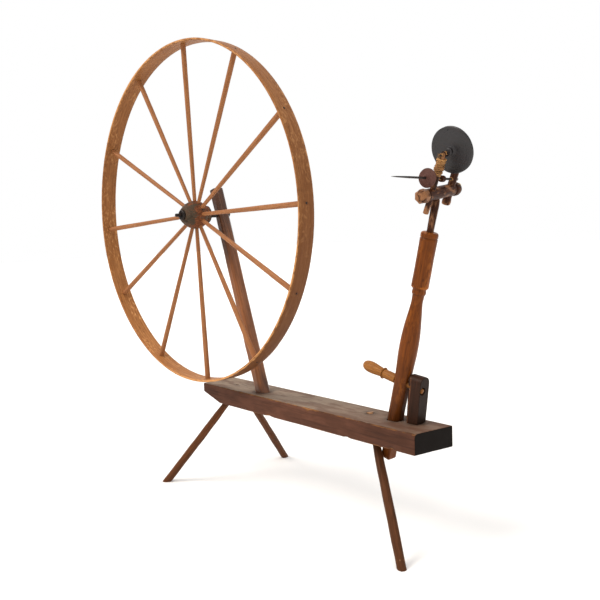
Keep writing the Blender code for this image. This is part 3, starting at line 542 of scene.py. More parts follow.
def turned_piece(name, profile, body, nodes, material, place, step=0.004, sides=48, uneven=0.0, seed=0.0,
                 marks=None, heart=(0.03, 0.02), outline=None, bore=None, sharp=38):
    mesh = as_mesh(shaft(dense(profile, step), outline, sides, uneven, seed), name)
    if bore:
        mesh = cut(mesh, rod_mesh(bore, profile[0][0] - 0.01, profile[-1][0] + 0.01, "bore"))
    return finish_piece(mesh, name, body, nodes, material, place, heart, seed, marks, sharp=sharp)


# ---- Geometry Nodes ----
def new_tree(name, numbers):
    """A modifier tree with a geometry input and output, and a named input for each size."""
    tree = bpy.data.node_groups.new(name, "GeometryNodeTree")
    tree.interface.new_socket("Geometry", in_out="INPUT", socket_type="NodeSocketGeometry")
    tree.interface.new_socket("Geometry", in_out="OUTPUT", socket_type="NodeSocketGeometry")
    for label, value in numbers.items():
        kind = "NodeSocketInt" if isinstance(value, int) else "NodeSocketFloat"
        tree.interface.new_socket(label, in_out="INPUT", socket_type=kind).default_value = value
    return tree, node(tree, "NodeGroupInput").outputs, node(tree, "NodeGroupOutput").inputs["Geometry"]


def grow(mesh, tree, material):
    """Run a tree on a mesh and return the plain mesh it makes."""
    thing = loose_object(mesh)
    change = thing.modifiers.new("grow", "NODES")
    change.node_group = tree
    for item in tree.interface.items_tree:
        if item.in_out == "INPUT" and item.socket_type != "NodeSocketGeometry":
            change[item.identifier] = item.default_value
    made = evaluated(thing)
    made.materials.clear()
    made.materials.append(material)
    return made


def closing(tree, geometry, material, out):
    """Make the instances real and give them their material."""
    real = node(tree, "GeometryNodeRealizeInstances", {"Geometry": geometry}).outputs[0]
    tree.links.new(node(tree, "GeometryNodeSetMaterial", {"Geometry": real, "Material": material}).outputs[0], out)


def keep_grain(tree, geometry):
    """Store each point's own place as its grain before it is copied about."""
    here = node(tree, "GeometryNodeInputPosition").outputs[0]
    inputs = {"Geometry": geometry, "Name": "grain", "Value": here}
    settings = {"data_type": "FLOAT_VECTOR", "domain": "POINT"}
    return node(tree, "GeometryNodeStoreNamedAttribute", inputs, **settings).outputs[0]


def named(tree, name, kind):
    return node(tree, "GeometryNodeInputNamedAttribute", {"Name": name}, data_type=kind).outputs["Attribute"]


def spoke_place(angle):
    """From the bottom of the spoke's socket in the hub, Z running out along the spoke."""
    reach = WHEEL_RADIUS - RIM_THICKNESS - SPOKE_SOCKET
    slope = math.degrees(math.atan2(SPOKE_DISH, reach))
    return turned_by(-angle, "Z") @ shifted(SPOKE_SOCKET, 0, SPOKE_DISH) @ turned_by(90 + slope, "Y")


def spoke_points(name, offset=0.0):
    """One vertex for each spoke, with its turn and a seed stored on it."""
    places = [spoke_place(angle) @ shifted(z=offset) for angle in SPOKE_ANGLES]
    mesh = bpy.data.meshes.new(name)
    mesh.from_pydata([p.translation for p in places], [], [])
    turns = [p.to_euler() for p in places]
    store(mesh, "turn", [c for turn in turns for c in turn], "FLOAT_VECTOR")
    store(mesh, "seed", [(0.37 * i) % 1.0 for i in range(len(places))])
    return mesh


def on_points(tree, points, thing):
    turn = node(tree, "FunctionNodeEulerToRotation", {0: named(tree, "turn", "FLOAT_VECTOR")}).outputs[0]
    inputs = {"Points": points, "Instance": thing, "Rotation": turn}
    return node(tree, "GeometryNodeInstanceOnPoints", inputs).outputs[0]


def spoke_tree():
    """Shaved round spokes: thickest at the rim, with a hand's unevenness along them."""
    length = math.hypot(WHEEL_RADIUS - RIM_THICKNESS - SPOKE_SOCKET, SPOKE_DISH)
    sizes = {"Length": length - 0.0004, "Hub radius": 0.0060, "Swell": 0.0029, "Uneven": 0.0009, "Facets": 14}
    tree, given, out = new_tree("Shaved spokes", sizes)
    end = node(tree, "ShaderNodeCombineXYZ", {"Z": given["Length"]}).outputs[0]
    line = node(tree, "GeometryNodeCurvePrimitiveLine", {"End": end}).outputs[0]
    points = node(tree, "GeometryNodeResampleCurve", {"Curve": line, "Count": 64}).outputs[0]
    along = node(tree, "GeometryNodeSplineParameter").outputs["Factor"]
    eased = node(tree, "ShaderNodeMath", {0: along, 1: 0.7}, operation="POWER").outputs[0]
    inputs = {0: eased, 1: given["Swell"], 2: given["Hub radius"]}
    swell = node(tree, "ShaderNodeMath", inputs, operation="MULTIPLY_ADD")
    sized = node(tree, "GeometryNodeSetCurveRadius", {"Curve": points, "Radius": swell.outputs[0]}).outputs[0]
    circle = node(tree, "GeometryNodeCurvePrimitiveCircle", {"Resolution": given["Facets"], "Radius": 1.0}).outputs[0]
    radius = node(tree, "GeometryNodeInputRadius").outputs[0]
    inputs = {"Curve": sized, "Profile Curve": circle, "Scale": radius, "Fill Caps": True}
    tube = node(tree, "GeometryNodeCurveToMesh", inputs)
    here = node(tree, "GeometryNodeInputPosition").outputs[0]
    squeezed = node(tree, "ShaderNodeVectorMath", {0: here, 1: (1.0, 1.0, 0.22)}, operation="MULTIPLY").outputs[0]
    lumps = node(tree, "ShaderNodeTexNoise", {"Vector": squeezed, "Scale": 60.0, "Detail": 1.0}).outputs["Color"]
    centred = node(tree, "ShaderNodeVectorMath", {0: lumps, 1: (0.5, 0.5, 0.5)}, operation="SUBTRACT").outputs[0]
    moved = node(tree, "ShaderNodeVectorMath", {0: centred, "Scale": given["Uneven"]}, operation="SCALE").outputs[0]
    shaped = node(tree, "GeometryNodeSetPosition", {"Geometry": tube.outputs[0], "Offset": moved}).outputs[0]
    closing(tree, on_points(tree, given["Geometry"], keep_grain(tree, shaped)), SPOKE_OAK, out)
    return tree


def nail_tree():
    """Hand-made rose-head nails, four-sided and a little proud of the rim."""
    tree, given, out = new_tree("Rose-head nails", {"Head radius": 0.0036, "Head height": 0.0014, "Sides": 7})
    inputs = {
        "Vertices": given["Sides"], "Radius Top": 0.0012, "Radius Bottom": given["Head radius"],
        "Depth": given["Head height"],
    }
    head = node(tree, "GeometryNodeMeshCone", inputs).outputs[0]
    closing(tree, on_points(tree, given["Geometry"], keep_grain(tree, head)), IRON, out)
    return tree


def spiral_tree(name, sizes, material, flat):
    """A strip or a thread wound round Z, its section flat times wider than thick."""
    tree, given, out = new_tree(name, sizes)
    inputs = {
        "Resolution": given["Steps a turn"], "Rotations": given["Turns"], "Start Radius": given["Radius"],
        "End Radius": given["Radius"], "Height": given["Height"],
    }
    spiral = node(tree, "GeometryNodeCurveSpiral", inputs).outputs[0]
    inputs = {"Resolution": 10, "Radius": given["Half width"]}
    circle = node(tree, "GeometryNodeCurvePrimitiveCircle", inputs).outputs[0]
    section = node(tree, "GeometryNodeTransform", {"Geometry": circle, "Scale": (1 / flat, 1.0, 1.0)}).outputs[0]
    strip = node(
        tree, "GeometryNodeCurveToMesh", {"Curve": spiral, "Profile Curve": section, "Fill Caps": True}
    ).outputs[0]
    closing(tree, keep_grain(tree, strip), material, out)
    return tree


# ---- the wheel ----
def make_rim():
    """One thin oak strip bent round, its thinned ends lapped over each other near the bottom."""
    lap_start, lap = math.radians(296), math.radians(17)
    steps = 420
    half = RIM_WIDTH / 2
    inner = WHEEL_RADIUS - RIM_THICKNESS
    rings, grains, aged_and_shade = [], [], []
    for i in range(steps + 1):
        run = (2 * math.pi + lap) * i / steps
        angle = lap_start + run
        low, high = inner, WHEEL_RADIUS
        if run < lap:
            high = inner + RIM_THICKNESS * max(0.14, run / lap) - 0.0003
        if run > 2 * math.pi:
            low = inner + RIM_THICKNESS * min(0.86, (run - 2 * math.pi) / lap)
        thick = high - low
        edge = min(0.0022, thick * 0.42)
        section = [
            (low + edge, -half), (low + edge * 0.3, -half + edge * 0.3), (low, -half + edge),
            (low, -half * 0.5), (low, 0.0), (low, half * 0.5),
            (low, half - edge), (low + edge * 0.3, half - edge * 0.3), (low + edge, half),
            (high - edge, half), (high - edge * 0.3, half - edge * 0.3), (high, half - edge),
            (high, half * 0.5), (high, 0.0), (high, -half * 0.5),
            (high, -half + edge), (high - edge * 0.3, -half + edge * 0.3), (high - edge, -half),
        ]
        sway = 0.0012 * math.sin(2 * angle + 0.6) + 0.0006 * math.sin(5 * angle)
        ring = []
        for radius, across in section:
            chip = 0.0005 * wobble(across * 6, run * 3, radius * 40, 0.05, 3)
            reach = radius + chip * 0.5
            side = across * (1 + chip) + sway
            ring.append((reach * math.cos(angle), -reach * math.sin(angle), side))
            grains.append((across + 0.05, radius - inner + 0.02, run * WHEEL_RADIUS))
            # Outer face: weathered darker, plus painted shade that darkens it towards the bottom. Inner face: painted
            # shade at the upper left, where it faces down.
            if radius > (low + high) / 2:
                aged_and_shade.append(0.74 - 0.46 * math.sin(angle - 0.3))
            else:
                aged_and_shade.append(0.66 * max(0.0, math.cos(angle - 2.2)))
        rings.append(ring)
    shape = lofted(rings)
    for end in (0, -1):
        grains.append(grains[end])
        aged_and_shade.append(0.0)
    mesh = as_mesh(shape, "rim_hoop")
    store(mesh, "grain", [c for g in grains for c in g], "FLOAT_VECTOR")
    store(mesh, "seed", [0.2] * len(grains))
    store(mesh, "aged_and_shade", aged_and_shade)
    stains = [(spoke_place(a) @ Vector((0, 0, WHEEL_RADIUS - SPOKE_SOCKET)), 0.006) for a in SPOKE_ANGLES]
    for angle, across, size in ((338, 0.012, 0.004), (330, -0.009, 0.003), (18, 0.006, 0.004), (5, -0.015, 0.003),
                                (300, 0.010, 0.003), (200, 0.010, 0.004), (160, -0.012, 0.003), (95, 0.004, 0.004)):
        spot = turned_by(-angle, "Z") @ Vector((WHEEL_RADIUS, 0, across))
        stains.append((spot, size))

    def dirt_and_shade(p):
        near = max(1 - (p - at).length / size for at, size in stains)
        return max(0.0, near * 0.9) + 0.5 * max(0.0, wobble(p.x, p.y, p.z * 0.5, 0.10, 4) - 0.12)

    finish_piece(mesh, "rim_hoop", "wheel", ["rim"], RIM_OAK, WHEEL, sharp=50,
                 marks={"wear_and_highlight": lambda p: (abs(p.z) - half + 0.0035) / 0.0035 * 0.55, "dirt_and_shade": dirt_and_shade})


def make_spokes():
    mesh = grow(spoke_points("spokes"), spoke_tree(), SPOKE_OAK)
    nodes = [f"spoke_{i:02d}" for i in range(1, len(SPOKE_ANGLES) + 1)]
    finish_piece(mesh, "spokes", "wheel", nodes, SPOKE_OAK, WHEEL, sharp=60)


def make_nails():
    reach = math.hypot(WHEEL_RADIUS - SPOKE_SOCKET, SPOKE_DISH) + 0.0003
    mesh = grow(spoke_points("rim_nails", reach), nail_tree(), IRON)
    nodes = [f"rim_nail_{i:02d}" for i in range(1, len(SPOKE_ANGLES) + 1)]
    finish_piece(mesh, "rim_nails", "wheel", nodes, IRON, WHEEL, sharp=20)


def make_hub():
    front, back = -0.033, 0.062
    barrel = [(front, 0.0236), (-0.024, 0.0310), (-0.012, 0.0395), (0.002, 0.0454), (0.016, 0.0478), (0.030, 0.0462),
              (0.040, 0.0418), (0.0448, 0.0372)]
    profile = [(front, 0.010), (front, 0.0215)] + curved(barrel, 5)
    profile += [(0.0458, 0.0285), (0.0475, 0.0262), (0.0490, 0.0290), (0.0500, 0.0300), (0.0515, 0.0310),
                (0.0600, 0.0310), (back, 0.0298), (back, 0.010)]
    shape = shaft(dense(profile, 0.003), None, 72, 0.0004, 5)
    mesh = cut(as_mesh(shape, "wheel_hub"), rod_mesh(AXLE_BORE, -0.06, 0.1, "bore"))
    finish_piece(mesh, "wheel_hub", "wheel", ["hub"], HUB_PAINT, WHEEL, heart=(0, 0),
                 marks={"wear_and_highlight": lambda p: 0.26 + 0.45 * wobble(p.x, p.y, p.z, 0.022, 2)
                        - 0.5 * max(0.0, -p.z - 0.004) / 0.03,
                        "dirt_and_shade": lambda p: 0.9 * max(0.0, wobble(p.x, p.y, p.z, 0.012, 6) - 0.12)})
    collar = [(-0.0413, 0.0135), (-0.0405, 0.0160), (-0.0385, 0.0174), (-0.0345, 0.0175), (-0.0333, 0.0166)]
    turned_piece("hub_collar", [(-0.0413, 0.0080)] + collar + [(-0.0333, 0.0080)], "wheel", ["hub_front_collar"],
                 IRON, WHEEL, 0.002, 40, 0.0005, 8, bore=AXLE_BORE)
    ring = [(0.0623, 0.010), (0.0623, 0.0292), (0.0630, 0.0300), (0.0656, 0.0300), (0.0663, 0.0292), (0.0663, 0.010)]
    turned_piece("hub_band", ring, "wheel", ["hub_rear_ring"], IRON, WHEEL, 0.003, 56, 0.0003, 9,
                 bore=AXLE_BORE)


def make_axle():
    profile = [(-0.0630, 0.0030), (-0.0622, 0.0048), (-0.0600, 0.0059), (0.0672, 0.0060), (0.0672, 0.0095),
               (0.0682, 0.0110), (0.1040, 0.0110), (0.1050, 0.0098), (0.1050, 0.0060), (0.1630, 0.0060),
               (0.1645, 0.0045)]
    turned_piece("axle", profile, "stand", ["wheel_axle"], IRON, WHEEL, 0.004, 32, 0.0003, 12)
    upright = turned_by(90, "X")
    pin = [(-0.0130, 0.0008), (-0.0125, 0.0017), (0.0095, 0.0018), (0.0100, 0.0030), (0.0130, 0.0026), (0.0132, 0.0010)]
    turned_piece("linchpin", pin, "stand", ["axle_linchpin"], IRON, WHEEL @ shifted(z=-0.0443) @ upright,
                 0.003, 12, 0.0002, 13)
    key = [(-0.0160, 0.0008), (-0.0155, 0.0017), (0.0140, 0.0018), (0.0142, 0.0008)]
    turned_piece("axle_pin", key, "stand", ["axle_key"], IRON, WHEEL @ shifted(z=0.1586) @ upright,
                 0.003, 12, 0.0002, 14)
    washer = [(0.1536, 0.009), (0.1536, 0.0134), (0.1541, 0.0140), (0.1560, 0.0140), (0.1565, 0.0134), (0.1565, 0.009)]
    turned_piece("washer", washer, "stand", ["axle_washer"], IRON, WHEEL, 0.003, 36, 0.0002, 15, bore=AXLE_BORE)


# ---- the bench and what stands in it ----
BENCH_BACK = BENCH.inverted() @ FRAME


def on_bench(x, y, z=BENCH_HEIGHT):
    """A point of the part's own frame, in the bench's."""
    return BENCH_BACK @ Vector((x, y, z))


def near_line(point, start, end):
    """Distance in plan from a point to a straight line between two others."""
    a, b, p = Vector(start).to_2d(), Vector(end).to_2d(), point.to_2d()
    along = b - a
    share = max(0.0, min(1.0, (p - a).dot(along) / along.length_squared))
    return (p - a - along * share).length


def make_bench():
    half = BENCH_WIDTH / 2
    under = BENCH_HEIGHT - BENCH_THICKNESS
    plank = box_mesh((BENCH_LEFT, -half, under), (BENCH_RIGHT + 0.05, half, BENCH_HEIGHT), "bench_plank")
    taper = math.degrees(math.atan2(BENCH_THICKNESS - 0.031, 0.095))
    under_cut = box_mesh((-0.05, -0.1, -0.1), (0.2, 0.1, 0), "under",
                         shifted(BENCH_LEFT, 0, BENCH_HEIGHT - 0.031) @ turned_by(taper, "Y"))
    saw = box_mesh((0, -0.2, 0), (0.2, 0.2, 0.5), "saw", shifted(BENCH_RIGHT) @ turned_by(-BENCH_END_SKEW, "Z"))
    peg = on_bench(0.063, 0.116)
    hole = rod_mesh(0.0046, -0.012, 0.02, "peg", shifted(*peg))
    slot = box_mesh((-0.0185, -0.0171, -0.12), (0.0185, 0.0171, 0.12), "slot", BENCH.inverted() @ POST)
    mesh = cut(plank, under_cut, saw, hole, slot)
    mesh = softened(mesh, 0.0026, 4)
    corner = Vector((BENCH_RIGHT - 0.013, -half, BENCH_HEIGHT))
    chips = [(corner, 0.012, 0.004), (Vector((0.83, -half, under)), 0.016, 0.0045),
             (Vector((0.50, -half, BENCH_HEIGHT)), 0.02, 0.0022), (Vector((0.17, -half, BENCH_HEIGHT)), 0.015, 0.002),
             (Vector((0.31, -half, under)), 0.02, 0.003), (Vector((0.66, -half, under)), 0.014, 0.003)]
    core = Vector((BENCH_MIDDLE, 0, (under + BENCH_HEIGHT) / 2))
    for vertex in mesh.vertices:
        p = vertex.co
        hewn = 0.0011 * wobble(p.x * 0.35, p.y, p.z, 0.05, 1) + 0.0004 * wobble(p.x * 0.2, p.y, p.z, 0.009, 2)
        inward = Vector((0, core.y - p.y, (core.z - p.z) * 2)).normalized()
        shift = max(0.0, hewn) + sum(depth * max(0.0, 1 - (p - at).length / size) for at, size, depth in chips)
        vertex.co = p + inward * shift

    def wear_and_highlight(p):
        top, front = BENCH_HEIGHT - p.z, p.y + half
        edges = [max(top, front), max(p.z - under, front), max(top, half - p.y), max(abs(BENCH_RIGHT - p.x), front)]
        near = max(0.0, min(1.0, 1.7 - min(edges) / 0.0035))
        chip = max((1 - (p - at).length / size for at, size, depth in chips), default=0.0)
        rub = 0.3 * max(0.0, wobble(p.x * 0.3, 0, 0, 0.03, 4))
        return near * (0.55 + rub) + max(0.0, chip) * 0.9

    splits = [((-0.034, -0.004), (0.006, 0.003)), ((-0.008, -0.010), (0.028, -0.013)), ((0.012, 0.010), (0.052, 0.006))]

    seats = [(on_bench(0.222, 0.099), 0.022), (on_bench(0.780, 0.115), 0.021), (on_bench(0.8435, 0.123), 0.020),
             (on_bench(0.679, 0.122), 0.011)]

    def dirt_and_shade(p):
        """Dark splits round the peg, and darker rings round whatever stands in the bench."""
        if p.z < BENCH_HEIGHT - 0.004:
            return 0.0
        from_peg = Vector((p.x - peg.x, p.y - peg.y, 0))
        split = max(max(0.0, 1 - near_line(from_peg, a, b) / 0.0022) for a, b in splits)
        round_seat_darkening = max(1 - max(0.0, (p - at).to_2d().length - size) / 0.022 for at, size in seats)
        return max(split * 0.8, 0.45 * round_seat_darkening * (1 + wobble(p.x, p.y, 0, 0.012, 7)))

    def aged_and_shade(p):
        return min(0.62, (p.x - 0.50) / 0.45) + 0.2 * wobble(p.x, p.y, 0, 0.04, 3)

    finish_piece(mesh, "bench_plank", "stand", ["bench"], BENCH_PAINT, BENCH, sharp=60,
                 marks={"wear_and_highlight": wear_and_highlight, "dirt_and_shade": dirt_and_shade, "aged_and_shade": aged_and_shade})


def leg_place(top, foot):
    """From the floor, Z running up along the leg; also the leg's length to the bench's top."""
    rake = math.atan2(top[0] - foot[0], BENCH_HEIGHT)
    splay = math.atan2(top[1] - foot[1], BENCH_HEIGHT / math.cos(rake))
    turn = Matrix.Rotation(rake, 4, "Y") @ Matrix.Rotation(-splay, 4, "X")
    return FRAME @ shifted(*foot) @ turn, BENCH_HEIGHT / (math.cos(rake) * math.cos(splay))


def make_legs():
    legs = (("leg_front_left", (0.080, 0.116), (-0.159, -0.057), 0.034, 1),
            ("leg_back_left", (0.085, 0.113), (-0.036, 0.412), 0.034, 2),
            ("leg_right", (0.679, 0.122), (0.891, -0.007), 0.0615, 3))
    for name, top, foot, depth, seed in legs:
        place, length = leg_place(top, foot)
        slope = length / BENCH_HEIGHT
        under = length - BENCH_THICKNESS * slope
        shape = [(-0.03, 0.0134), (0.01, 0.0134), (under * 0.35, 0.0137), (under - 0.08, 0.0131),
                 (under - 0.012, 0.0113), (under + depth * slope, 0.0109)]
        bar = as_mesh(shaft(dense(curved(shape, 8), 0.005), facets(9, 0.8, seed), 45, 0.0009, seed, 0.0012), name)
        floor = box_mesh((-1, -1, -0.3), (1, 1, 0), "floor_cut", place.inverted())
        lid = box_mesh((-1, -1, BENCH_HEIGHT + 0.0036), (1, 1, 0.6), "lid_cut", place.inverted())
        bar = cut(bar, floor, lid)
        # The right leg is painted darker all over: painted shade for the shade under the bench's right end.
        dark = 0.35 if name == "leg_right" else 0.0

        def dirt_and_shade(p, dark=dark, place=place):
            if (place @ p).z > BENCH_HEIGHT:
                return 0.1
            return dark + 0.9 * max(0.0, wobble(p.x, p.y, p.z * 0.3, 0.012, 3) - 0.15)

        def wear_and_highlight(p, dark=dark, place=place):
            through_end = 1.0 if (place @ p).z > BENCH_HEIGHT + 0.0006 else 0.0
            return dark * 1.6 * max(0.0, 1 - abs(p.z - 0.020) / 0.005) + through_end

        finish_piece(bar, "shaved_" + name, "stand", [name], LEG_WOOD, place, (0.03, 0.01), seed,
                     sharp=50, marks={"dirt_and_shade": dirt_and_shade, "wear_and_highlight": wear_and_highlight})


def make_wheel_post():
    rise, tip_y = 0.6, 0.030
    tip = math.atan2(tip_y, rise)
    rake = math.atan2(0.222 * math.cos(tip), rise)
    place = FRAME @ shifted(0.222, 0.099, BENCH_HEIGHT) @ Matrix.Rotation(-rake, 4, "Y") @ Matrix.Rotation(-tip, 4, "X")
    slope = 1 / (math.cos(tip) * math.cos(rake))
    top = (rise + 0.085) * slope
    worn_and_highlight = [(-0.03, 1.0), (0.02, 1.0), (top * 0.5, 0.985), (top - 0.03, 0.97), (top - 0.010, 0.95), (top - 0.004, 0.86),
            (top - 0.0008, 0.68), (top, 0.5)]
    shape = shaft(dense(curved(worn_and_highlight, 10), 0.006), chamfered(0.0220, 0.0112, 26), 64, 0.0009, 6)
    bench_top = box_mesh((-1, -1, 0), (1, 1, BENCH_HEIGHT + 0.0003), "bench_top", place.inverted())
    eye = rod_mesh(AXLE_BORE, 0.05, 0.2, "eye", place.inverted() @ WHEEL)
    mesh = cut(as_mesh(shape, "wheel_post_bar"), bench_top, eye)
    finish_piece(mesh, "wheel_post_bar", "stand", ["wheel_post"], WHEEL_POST_WOOD, place, (0.05, 0.02), 6,
                 sharp=50, marks={
                     "aged_and_shade": lambda p: (p.z - 0.42 + 0.10 * wobble(p.x, p.y, p.z * 0.3, 0.03, 2)) / 0.12 * 1.4
                     * (0.35 if p.x > 0.012 else 1.0),
                     "dirt_and_shade": lambda p: 0.7 * max(0.0, 1 - p.z / 0.16) * (0.8 + wobble(p.x, p.y, p.z * 0.4, 0.02, 7)),
                     # Paler along the chamfer edges: worn arrises, plus painted highlight lines for the glossy post.
                     "wear_and_highlight": lambda p: 0.62 * max(0.0, 1 - abs(math.hypot(p.x, p.y) - 0.0245) / 0.0012)
                     * (0.6 + 0.6 * wobble(0, 0, p.z, 0.05, 3)) * (0.55 if p.z > 0.45 else 1.0)})


def make_block():
    wide, deep, tall = 0.021, 0.0195, 0.136
    shape = bmesh.new()
    size = Matrix.Diagonal((2 * wide, 2 * deep, tall + 0.01, 1))
    bmesh.ops.create_cube(shape, size=1, matrix=shifted(0, 0, tall / 2 - 0.005) @ size)

    def edges_where(rule):
        return [e for e in shape.edges if rule(e.verts[0].co, e.verts[1].co)]

    arch = edges_where(lambda a, b: min(a.z, b.z) > tall - 0.001 and abs(a.y - b.y) < 1e-6)
    bmesh.ops.bevel(shape, geom=arch, offset=0.0188, segments=10, profile=0.5, affect="EDGES")
    side = edges_where(lambda a, b: abs(a.z - b.z) > 0.05 and max(a.x, a.y, b.x, b.y) < 0)
    bmesh.ops.bevel(shape, geom=side, offset=0.008, segments=1, profile=0.5, affect="EDGES")
    cutters = [box_mesh((-1, -1, 0), (1, 1, BENCH_HEIGHT + 0.0003), "bench_top", BLOCK.inverted()),
               rod_mesh(0.0108, 0.02, 0.12, "screw_hole", BLOCK.inverted() @ SCREW, 32)]
    mesh = softened(cut(as_mesh(shape, "block"), *cutters), 0.0013, 3)
    for vertex in mesh.vertices:
        p = vertex.co
        vertex.co = p * (1 - 0.012 * max(0.0, wobble(p.x, p.y, p.z * 0.4, 0.02, 5)))
    # The +X face is painted darker: painted shade on the side turned away from the light.
    finish_piece(mesh, "arched_block", "stand", ["tension_block"], BLOCK_WOOD, BLOCK, (0.03, 0.02), 7,
                 marks={"dirt_and_shade": lambda p: 0.75 if p.x > wide - 0.002 else 0.0,
                        "wear_and_highlight": lambda p: 0.62 * max(0.0, 1 - abs(p.x + p.y + wide + deep - 0.008) / 0.004)
                        + 0.4 * max(0.0, 1 - abs(abs(p.y) - deep) / 0.002 - abs(p.x - wide) / 0.002)}, sharp=60)


# ---- the spindle post and its screw ----
def make_spindle_post():
    top = POST_TOP - POST_FOOT
    swell = [(0.165, 0.0244), (0.190, 0.0256), (0.226, 0.0262), (0.260, 0.0247), (0.290, 0.0220), (0.318, 0.0186),
             (0.346, 0.0157), (0.3685, 0.0166)]
    bead = [(0.3700, 0.0176), (0.3722, 0.0188), (0.3760, 0.0193), (0.3795, 0.0189), (0.3812, 0.0184), (0.3845, 0.0188),
            (0.3870, 0.0202), (0.3885, 0.0222), (0.3905, 0.0236), (0.3925, 0.0237), (0.3940, 0.0232), (0.3955, 0.0236)]
    cylinder = [(0.405, 0.0236), (0.46, 0.0233), (top - 0.018, 0.0235), (top - 0.0168, 0.0224), (top - 0.0150, 0.0222),
                (top - 0.0138, 0.0234), (top - 0.006, 0.0235), (top - 0.0022, 0.0222), (top - 0.0004, 0.0190),
                (top, 0.0150)]
    lower = [(-0.03, 0.0231), (0.10, 0.0231), (0.146, 0.0238)]
    profile = [(h + POST_FOOT, r) for h, r in lower + curved(swell, 5) + bead + cylinder]
    square = chamfered(0.0212, 0.0105, 30)

    def outline(height, angle):
        share = max(0.0, min(1.0, (height - POST_FOOT - 0.118) / 0.045))
        share = share * share * (3 - 2 * share)
        return (1 - share) * square(height, angle) / POST_RADIUS + share

    bar = as_mesh(shaft(dense(profile, 0.004), outline, 64, 0.0005, 11), "spindle_post_bar")
    level = POST.inverted() @ FRAME
    cutters = [box_mesh((0, -1, 0), (2, 1, BENCH_HEIGHT + 0.0015), "shoulder", level),
               rod_mesh(0.0095, -0.06, 0.06, "screw_hole", POST.inverted() @ SCREW, 32),
               rod_mesh(0.0098, POST_TOP - 0.0556, POST_TOP + 0.02, "socket", None, 32)]
    bar = cut(bar, *cutters)
    knots = ((0.0235, 232, 0.500, 0.0045), (0.0235, 250, 0.437, 0.0022), (0.0255, 215, 0.205, 0.0034),
             (0.0236, 320, 0.415, 0.0026), (0.0250, 300, 0.240, 0.0024), (0.0235, 100, 0.470, 0.005),
             (0.0255, 60, 0.230, 0.004))
    knots = [(Vector((r * math.cos(math.radians(a)), r * math.sin(math.radians(a)), h + POST_FOOT)), size)
             for r, a, h, size in knots]

    def dirt_and_shade(p):
        height = p.z - POST_FOOT
        knot = max(1.2 - ((p - at) * Vector((1, 1, 0.5))).length / size for at, size in knots)
        groove = max(1 - abs(height - at) / 0.0016 for at in (0.3700, 0.3855, top - 0.0155))
        foot = 1 - height / 0.20
        grimy_foot = foot * (0.8 + 0.2 * wobble(p.x, p.y, p.z * 0.3, 0.04, 2))
        top_face = 0.5 * (p.z - POST_TOP + 0.002) / 0.002
        return max(0.0, knot, 0.8 * groove, grimy_foot, top_face)

    finish_piece(bar, "spindle_post_bar", "post", ["spindle_post"], POST_CHERRY, POST, (0.045, 0.03), 11,
                 sharp=45, marks={"dirt_and_shade": dirt_and_shade, "wear_and_highlight": lambda p: 0.30 + 0.4 * wobble(p.x, p.y, p.z * 0.3, 0.03, 8) + (
                     0.3 if abs(p.z - POST_FOOT - 0.392) < 0.003 or p.z > POST_TOP - 0.003 else 0.0)})
    foot = -(BENCH_THICKNESS - 0.030 + 0.055) / math.cos(math.radians(POST_RAKE))
    tenon = [(foot, 0.92), (foot + 0.003, 1.0), (POST_FOOT + 0.004, 1.0)]
    wide, deep = 0.015, 0.0165

    def oblong(height, angle):
        total = abs(math.cos(angle) / wide) ** 14 + abs(math.sin(angle) / deep) ** 14
        return total ** (-1 / 14)

    turned_piece("post_tenon", tenon, "post", [], POST_CHERRY, POST, 0.006, 48, 0.0005, 17,
                 outline=oblong)


def make_screw():
    face, ring = -0.0213, -0.0658
    handle = ring - 0.0036
    egg = [(handle - 0.074 * share, radius) for share, radius in (
        (1.0, 0.0010), (0.992, 0.0052), (0.96, 0.0092), (0.90, 0.0126), (0.80, 0.0153), (0.66, 0.0166), (0.48, 0.0163),
        (0.30, 0.0149), (0.14, 0.0136), (0.05, 0.0131), (0.0, 0.0130))]
    neck = [(ring, 0.0122), (ring + 0.002, 0.0130), (-0.048, 0.0132), (-0.034, 0.0131), (face - 0.0008, 0.0129),
            (face, 0.0124), (face, 0.0080), (0.0690, 0.0078), (0.0712, 0.0064), (0.0722, 0.0030)]
    profile = curved(egg, 4) + [(handle, 0.0115), (ring, 0.0115)] + neck
    turned_piece("screw_handle", profile, "screw", ["tension_screw"], HANDLE_MAPLE, SCREW, 0.003, 48,
                 0.0005, 21, heart=(0.011, 0.013), outline=facets(22, 0.5),
                 marks={"dirt_and_shade": lambda p: 0.6 if p.z > 0.0 else 0.8 * max(0.0, 1 - abs(p.z - handle) / 0.0016)
                        + 0.8 * max(0.0, 1 - abs(p.z - ring) / 0.0016),
                        "wear_and_highlight": lambda p: 0.0 if p.z > 0.0 else 0.55 * max(0.0, wobble(p.x, p.y, p.z, 0.02, 9))})
    collar = [(handle + 0.0002, 0.0118), (handle + 0.0003, 0.0150), (handle + 0.0010, 0.0163),
              (handle + 0.0018, 0.0167), (handle + 0.0026, 0.0163), (ring - 0.0003, 0.0150), (ring - 0.0002, 0.0118)]
    turned_piece("handle_collar", collar, "screw", ["handle_ring"], HANDLE_MAPLE, SCREW, 0.002, 48,
                 0.0002, 22, bore=0.0117)
    sizes = {"Steps a turn": 24, "Turns": 13.0, "Radius": 0.0078, "Height": 0.080, "Half width": 0.0014}
    mesh = bpy.data.meshes.new("screw_thread")
    mesh = grow(mesh, spiral_tree("Cut thread", sizes, HANDLE_MAPLE, 1.6), HANDLE_MAPLE)
    store(mesh, "seed", [0.4] * len(mesh.vertices))
    finish_piece(mesh, "screw_thread", "screw", [], HANDLE_MAPLE, SCREW @ shifted(z=-0.015), sharp=60,
                 marks={"dirt_and_shade": lambda p: 0.7})


